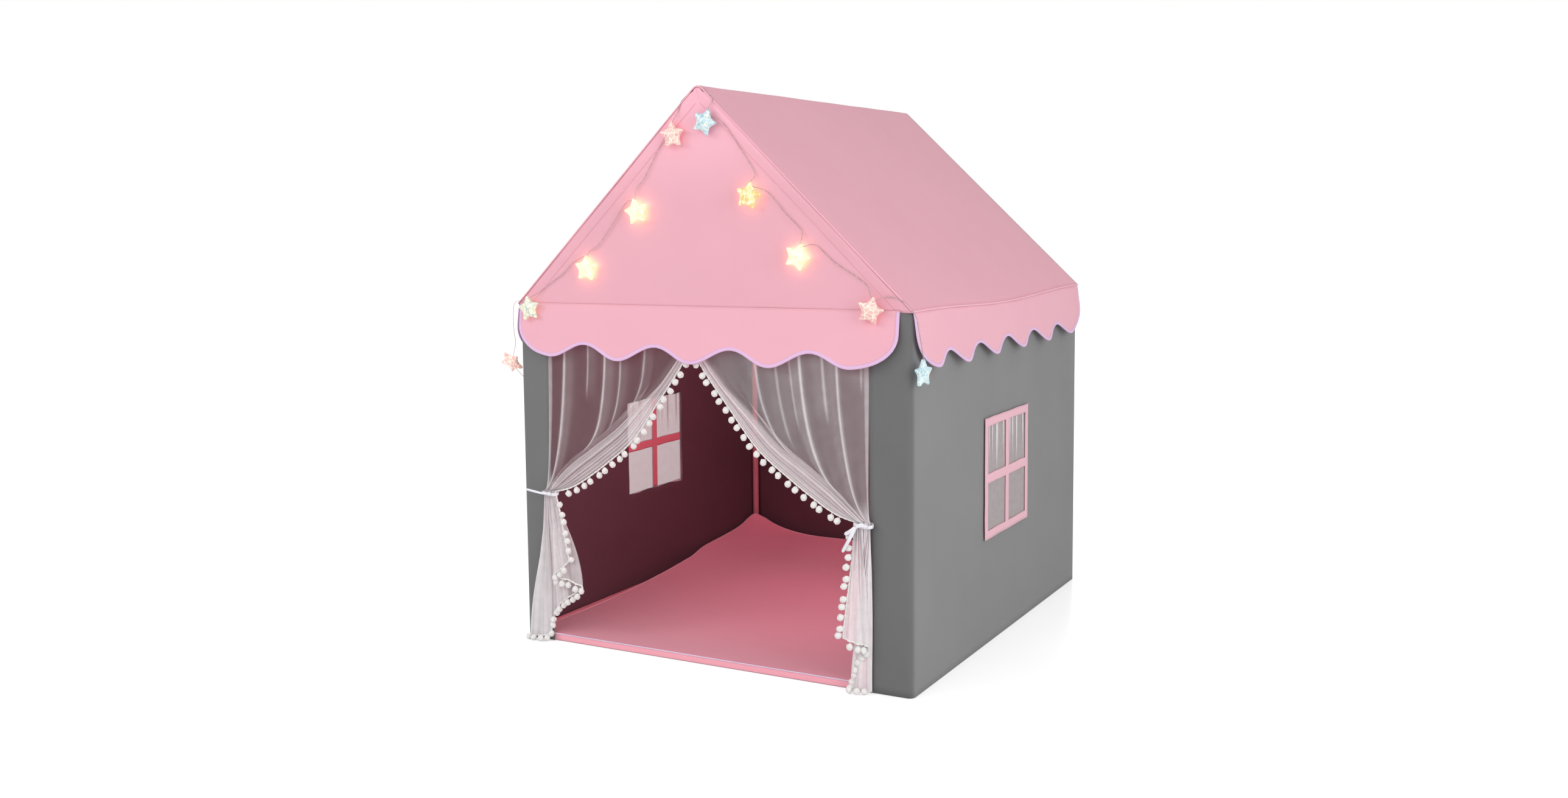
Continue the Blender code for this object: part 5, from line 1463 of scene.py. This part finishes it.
def net_cloth(name, colour, cover):
    """A fine net: its holes are too small to see, so it is an even part of the light."""
    made, tree, shader = blank(name, 0.75, Sheen_Weight=0.2, Specular_IOR_Level=0.2)
    uv = add(tree, "UVMap").outputs["UV"]
    mottle = speckle(tree, uv, 60.0, 4.0, 0.65)
    part = math_node(tree, "ADD", math_node(tree, "MULTIPLY", mottle, 0.16), cover - 0.14)
    part = math_node(tree, "ADD", part, math_node(tree, "MULTIPLY", weave(tree, uv, NET_THREAD), 0.08))
    tree.links.new(part, shader.inputs["Alpha"])
    shade = tuple(c * 0.93 for c in colour)
    dress(tree, shader, tones(tree, mottle, (0.3, shade), (0.7, colour)))
    return made


WINDOW_NET = net_cloth("window_net", (0.53, 0.480, 0.485), 0.76)
WINDOW_VOILE = sheer("window_voile", (0.98, 0.95, 0.96), 0.42)
# Painted shade: the cross seen from inside is a deeper crimson than the pink frame tape.
SHADED_CROSS_TAPE = woven("cross_tape_painted_shade", (0.80, 0.17, 0.22), (0.74, 0.14, 0.19), ripple=0.0004, ripple_scale=30)
FRAME_TAPE = woven("frame_tape", (0.86, 0.50, 0.58), (0.83, 0.475, 0.555), ripple=0.0004, ripple_scale=22)
print("window finishes:", WINDOW_NET.name, WINDOW_VOILE.name, SHADED_CROSS_TAPE.name, FRAME_TAPE.name)

# %% Strips and panes
STRIP = 0.021
FRAME_WIDTH = 0.324
FRAME_HEIGHT = 0.300
SMALL_CUT = (0.30, 0.118)
GATHERED_WIDTH = 0.272
FRAME_OUT = 0.0010
NET_IN = 0.0012
CROSS_IN = 0.0019
GATHERED_IN = 0.0007
FRAME_BAR = 0.0115
CROSS_BAR = 0.0105
FRAME_THICK = 0.0013
CROSS_THICK = 0.0007
# The small curtain's UV map is laid wider than its cut, which makes its slubs finer.
SMALL_UV = 0.40


def strip_frame(name, side, distance, half_width, half_height, openings, thickness, finish):
    """A flat plate parallel to a side wall, with the openings cut out of it."""
    def place(u, v):
        return Vector((side * distance, WINDOW_Y + (2 * u - 1) * half_width,
                       WINDOW_Z + (2 * v - 1) * half_height))

    piece = cut_cloth(name, 2 * half_width, 2 * half_height, 36, 36, place, finish)
    cut_out(piece, openings)
    for vert in piece.data.vertices:
        vert.co.y += crease((vert.co.y, side, vert.co.z), 24, 0.0011)
        vert.co.z += crease((vert.co.z, vert.co.y, side), 20, 0.0013)
    face_out(piece, (side, 0, 0))
    return thicken(piece, thickness)


def panes(bar, *edges):
    """The four openings beside a cross of half width bar, out to the edges in Y and in Z."""
    y_runs, z_runs = (((-edge, -bar), (bar, edge)) for edge in edges)
    return [(WINDOW_Y + a, WINDOW_Y + b, WINDOW_Z + c, WINDOW_Z + d) for a, b in y_runs for c, d in z_runs]


def curtain_layers(u, v):
    """How many layers of the small curtain lie at a point: streaks that fade out downwards."""
    streak = 2.8 * max(math.sin(2 * math.pi * 9 * u + 2.2 * math.sin(11 * u)), 0) ** 4
    return streak * soft((v - 0.15 * math.sin(23 * u)) / 0.85) ** 1.2


print("panes of the frame:", len(panes(FRAME_BAR, FRAME_WIDTH / 2, FRAME_HEIGHT / 2)))


# %% Sew in the windows
def window(side, side_name):
    """The frame, the net, the cross seen from inside and the gathered curtain."""
    half_width, half_height = FRAME_WIDTH / 2, FRAME_HEIGHT / 2
    openings = panes(FRAME_BAR, half_width - STRIP, half_height - STRIP)
    surround = strip_frame(f"window_surround_{side_name}", side, HALF_WIDTH + FRAME_OUT, half_width,
                           half_height, openings, FRAME_THICK, FRAME_TAPE)
    rest(surround, "tent", f"window_frame_{side_name}", slot="pale_pink_cloth")

    def net_place(u, v):
        y = WINDOW_Y + (u - 0.5) * (WINDOW_WIDTH - 0.001)
        z = WINDOW_Z + (v - 0.5) * (WINDOW_HEIGHT - 0.001)
        return Vector((side * (HALF_WIDTH - NET_IN + crease((y, 0, z), 14, 0.0004)), y, z))

    net = cut_cloth(f"window_net_sheet_{side_name}", WINDOW_WIDTH, WINDOW_HEIGHT, 24, 24, net_place,
                    WINDOW_NET)
    face_out(net, (side, 0, 0))
    rest(net, "tent", f"window_net_{side_name}", slot="net_cloth")

    # The openings reach past the plate, so that only the cross is left of it.
    openings = panes(CROSS_BAR, WINDOW_WIDTH, WINDOW_WIDTH)
    cross = strip_frame(f"window_cross_{side_name}", side, HALF_WIDTH - CROSS_IN, WINDOW_WIDTH / 2 - 0.003,
                        WINDOW_HEIGHT / 2 - 0.003, openings, CROSS_THICK, SHADED_CROSS_TAPE)
    rest(cross, "tent", slot="pale_pink_cloth")

    def gathered(u, v):
        fold = 0.0004 * (1 + math.sin(2 * math.pi * 11 * u + 2 * math.sin(7 * u)))
        return Vector((side * (HALF_WIDTH - GATHERED_IN + fold), WINDOW_Y + (u - 0.5) * GATHERED_WIDTH,
                       WINDOW_Z + WINDOW_HEIGHT / 2 - SMALL_CUT[1] * (1 - v)))

    voile = hang_sheer(f"window_curtain_sheet_{side_name}", (SMALL_UV, SMALL_CUT[1]), 120, 24,
                       curtain_layers, gathered, WINDOW_VOILE, (side, 0, 0))
    rest(voile, "tent", f"window_curtain_{side_name}", slot="sheer_cloth")


for side_name, side in SIDES:
    window(side, side_name)


# %% [markdown]
# The mat is a thin padded sheet, a little wider than the floor, so that its edges ride up the
# walls, most in the far corners. Its front edge lies in the doorway and shows how it is
# sewn: a pale piping along the top seam and a brighter band of cloth below it. The pad is
# laid as one closed sheet with a thickness, rounded at its edges.

# %% Shape of the mat
MAT_HALF = 0.49795
MAT_BACK = 0.57795
MAT_FRONT = -0.6027
MAT_THICK = 0.020
MAT_ROUND = 0.046
MAT_RISE_WIDTH = 0.20
MAT_RISE = 0.026
CORNER_RISE = 0.034
CORNER_REACH = 0.045
MAT_LIFT = 0.0004
MAT_BEVEL = 0.0035
DOORWAY_Y = -0.52
DOORWAY_NARROW = 0.0034
BACK_WIDER = 0.016
TOP_CREASE = 0.0016
FRONT_DIP = 0.0012


def mat_place(u, v):
    """A point of the mat's underside."""
    y = MAT_FRONT + (MAT_BACK - MAT_FRONT) * v
    half = MAT_HALF - DOORWAY_NARROW * (y < DOORWAY_Y)
    half += BACK_WIDER * soft((y - HALF_DEPTH / 4) / (HALF_DEPTH / 5))
    back_gap = MAT_BACK - y
    if back_gap < MAT_ROUND:
        half -= MAT_ROUND - math.sqrt(max(MAT_ROUND ** 2 - (MAT_ROUND - back_gap) ** 2, 0))
    x = half * (2 * u - 1)
    side_near = max(1 - (half - abs(x)) / MAT_RISE_WIDTH, 0) ** 2
    back_near = max(1 - back_gap / MAT_RISE_WIDTH, 0) ** 2
    rise = MAT_RISE * (1 - (1 - side_near * soft((y + HALF_DEPTH / 2) / HALF_DEPTH)) * (1 - back_near))
    corner = math.dist((abs(x), y), (MAT_HALF + 0.0025, MAT_BACK - 0.0135))
    rise += MAT_RISE * side_near * soft(y / HALF_DEPTH) + CORNER_RISE * math.exp(-corner / CORNER_REACH)
    return Vector((x, y, MAT_LIFT + rise))


print("the far corners rise by:", round(mat_place(1, 1).z, 3))

# %% Mat finish and body
# Painted bounce light: the mat turns redder towards the back, for the pink light the cloth throws back
# inside.
MAT_CLOTH = woven("mat_cloth", (0.69, 0.29, 0.365), (0.66, 0.27, 0.34), ripple=0.0022, ripple_scale=3.2,
                  roughness=0.6, painted_bounce=(0.96, 0.28, 0.385))
MAT_BAND = woven("mat_band", (0.93, 0.42, 0.50), (0.90, 0.40, 0.48), ripple=0.0005, ripple_scale=20)
PIPING = woven("piping", (0.80, 0.68, 0.84), (0.74, 0.62, 0.78), ripple=0.0001, ripple_scale=60)


def to_ends(share):
    """Rows closer together at both ends."""
    return share - 0.8 * math.sin(2 * math.pi * share) / (2 * math.pi)


pad = cut_cloth("floor_mat_pad", 2 * MAT_HALF, MAT_BACK - MAT_FRONT, 96, 112,
                lambda u, v: mat_place(to_ends(u), to_ends(v)), MAT_CLOTH, MAT_BAND)
face_out(pad, (0, 0, 1))
under = len(pad.data.vertices)
shell = pad.modifiers.new("thickness", "SOLIDIFY")
shell.thickness = MAT_THICK
shell.offset = 1
shell.use_rim = True
apply_all(pad)
for pair in zip(pad.data.vertices[:under], pad.data.vertices[under:]):
    low, high = sorted(pair, key=lambda vert: vert.co.z)
    high.co = low.co + Vector((0, 0, MAT_THICK))
for vert in pad.data.vertices:
    if vert.co.z > 0.75 * MAT_THICK:
        dip = FRONT_DIP * math.exp(-((vert.co.y - MAT_FRONT) / 0.006) ** 2)
        vert.co.z += crease((vert.co.x, vert.co.y, 0), 4.5, TOP_CREASE) - dip
for face in pad.data.polygons:
    face.material_index = 1 if abs(face.normal.z) < 0.5 else 0
edit(pad, "EDGE", lambda middle: False)
bpy.ops.mesh.edges_select_sharp(sharpness=math.radians(50))
bpy.ops.mesh.bevel(offset=MAT_BEVEL, segments=3, affect="EDGES")
put_down()
soften(pad, 50)
rest(pad, "tent", "floor_mat", slot="mat_cloth")
print("mat faces:", len(pad.data.polygons))

# %% Piping along the mat's edges
def rim_line(places, drop_by, shift):
    """A line beside the mat's edge, a little below the top of its thickness."""
    return [mat_place(u, v) + Vector((0, 0, MAT_THICK - drop_by)) + Vector(shift) for u, v in places]


front_rim = rim_line([(k / 80, 0) for k in range(1, 80)], 0.0022, (0, -0.0006, 0))
turns = [1 - MAT_ROUND * (1 - math.sin(math.radians(10 * k))) / (MAT_BACK - MAT_FRONT) for k in range(10)]
runs = [k / 120 for k in range(1, 115)] + turns
right_rim = rim_line([(1, v) for v in runs], 0.0008, (-0.0008, 0, 0))
far_rim = rim_line([(1 - k / 80, 1) for k in range(1, 80)], 0.0008, (0, -0.0008, 0))
left_rim = rim_line([(0, v) for v in reversed(runs)], 0.0008, (0.0008, 0, 0))
for name, line, radius, finish in (
        ("mat_piping_front", front_rim, 0.0016, PIPING),
        ("mat_piping_round", right_rim + far_rim + left_rim, 0.0017, MAT_BAND)):
    piping = tube(name, even_line(line, 0.012), radius, sides=8)
    piping.data.materials.append(finish)
    rest(piping, "tent", slot="mat_cloth")
    print(name, len(piping.data.polygons))


# %% [markdown]
# The poles, connectors and the battery case keep their solids, because their shapes are
# right. They only get better finishes: the poles are in the pink of the cover's pole sleeves,
# and the mouldings are satin plastic with a faint grain.

# %% Plastic and metal finishes
def moulded(name, light, dark, roughness, grain=900.0, metallic=0.0, coat=0.0):
    """Moulded plastic or pressed metal with a fine grain and uneven gloss."""
    made, tree, shader = blank(name, roughness, Metallic=metallic, Coat_Weight=coat, Coat_Roughness=0.2)
    place = add(tree, "TexCoord").outputs["Object"]
    broad = speckle(tree, place, 14.0, 3.0)
    dress(tree, shader, tones(tree, broad, (0.35, dark), (0.65, light)),
          speckle(tree, place, grain, 3.0), 0.00012, 0.5)
    gloss = add(tree, "MapRange", Value=broad, To_Min=roughness - 0.06, To_Max=roughness + 0.08)
    tree.links.new(gloss.outputs["Result"], shader.inputs["Roughness"])
    return made


FINISHES = {
    "pole": moulded("sleeved_pole", (0.67, 0.20, 0.25), (0.61, 0.17, 0.215), 0.55, grain=500.0),
    "connector": moulded("white_moulding", (0.84, 0.84, 0.83), (0.78, 0.78, 0.77), 0.38, coat=0.15),
    "case": moulded("case_plastic", (0.83, 0.83, 0.81), (0.78, 0.78, 0.76), 0.42),
    "cell": moulded("cell_jacket", (0.10, 0.34, 0.22), (0.08, 0.29, 0.18), 0.35, coat=0.4),
    "metal": moulded("plated_metal", (0.72, 0.72, 0.70), (0.62, 0.62, 0.60), 0.3, metallic=1.0),
}
WORN_BY = (
    (("upright_", "rafter_", "eave_rail_", "base_rail_", "ridge_pole"), "pole"),
    (("foot_connector_", "eave_connector_", "ridge_connector_", "switch_slider"), "connector"),
    (("battery_case", "battery_cover"), "case"),
    (("battery_lower", "battery_upper"), "cell"),
    (("terminal_", "cell_bridge"), "metal"),
)
dressed = 0
for starts, finish in WORN_BY:
    for name, node in nodes.items():
        if name.startswith(starts):
            for slot in node.material_slots:
                slot.material = FINISHES[finish]
            if not node.material_slots:
                node.data.materials.append(FINISHES[finish])
            dressed += 1
print("dressed solids:", dressed)


# %% [markdown]
# Plain studio light: a broad soft key on the right, weaker fills from the front and the left,
# a small pinkish lamp inside for the light that the cloth throws back, and an even pale
# surround. The floor is a big white sheet that keeps the soft shadow. Through the light path,
# floor and surround look brighter to the camera, in gloss and through glass than they are as
# light, so the background is white without more light on the tent.

# %% Floor
def seen(tree):
    """1 for the rays of the camera, of gloss and of glass, and 0 for those that light things."""
    path = add(tree, "LightPath").outputs
    direct = math_node(tree, "MAXIMUM", path["Is Camera Ray"], path["Is Glossy Ray"])
    return math_node(tree, "MAXIMUM", direct, path["Is Transmission Ray"])


floor = added(bpy.ops.mesh.primitive_plane_add, "studio_floor", size=30, location=(0, 0, 0))
floor_white, tree, shader = blank("floor_white", 0.24, Specular_IOR_Level=0.5)
shader.inputs["Base Color"].default_value = (0.80, 0.80, 0.80, 1)
shader.inputs["Emission Color"].default_value = (1, 1, 1, 1)
tree.links.new(math_node(tree, "MULTIPLY", seen(tree), 0.49), shader.inputs["Emission Strength"])
floor.data.materials.append(floor_white)
print("floor:", floor.name)

# %% Surround and lamps
world = bpy.data.worlds.new("studio")
bpy.context.scene.world = world
world.use_nodes = True
tree = world.node_tree
whiteness = add(tree, "MapRange", Value=seen(tree), To_Min=0.62, To_Max=1.0).outputs["Result"]
background = tree.nodes["Background"]
background.inputs["Color"].default_value = (1, 1, 1, 1)
tree.links.new(whiteness, background.inputs["Strength"])


def soft_lamp(name, place, aim, size, power, colour=(1, 1, 1)):
    """A square area lamp at a place, turned towards a point."""
    data = bpy.data.lights.new(name, "AREA")
    data.shape = "SQUARE"
    data.size = size
    data.energy = power
    data.color = colour
    made = bpy.data.objects.new(name, data)
    bpy.context.scene.collection.objects.link(made)
    made.location = place
    made.rotation_euler = (Vector(aim) - Vector(place)).to_track_quat("-Z", "Y").to_euler()
    made.visible_camera = False
    return made


soft_lamp("key_right", (3.6, -1.6, 1.5), (0, 0, 0.6), 2.4, 55)
soft_lamp("front_fill", (-0.4, -4.5, 2.4), (0, 0, 0.8), 2.6, 34)
soft_lamp("left_fill", (-2.6, -3.2, 2.6), (-0.3, -0.6, 1.1), 1.6, 36)
soft_lamp("inner_glow", (0.20, -0.12, 0.96), (-0.25, -0.06, 0.1), 0.34, 4.6, (1.0, 0.72, 0.76))
bpy.context.scene.view_settings.view_transform = "Standard"
print("lamps:", len(bpy.data.lights))

# %% Drop the selection
put_down()
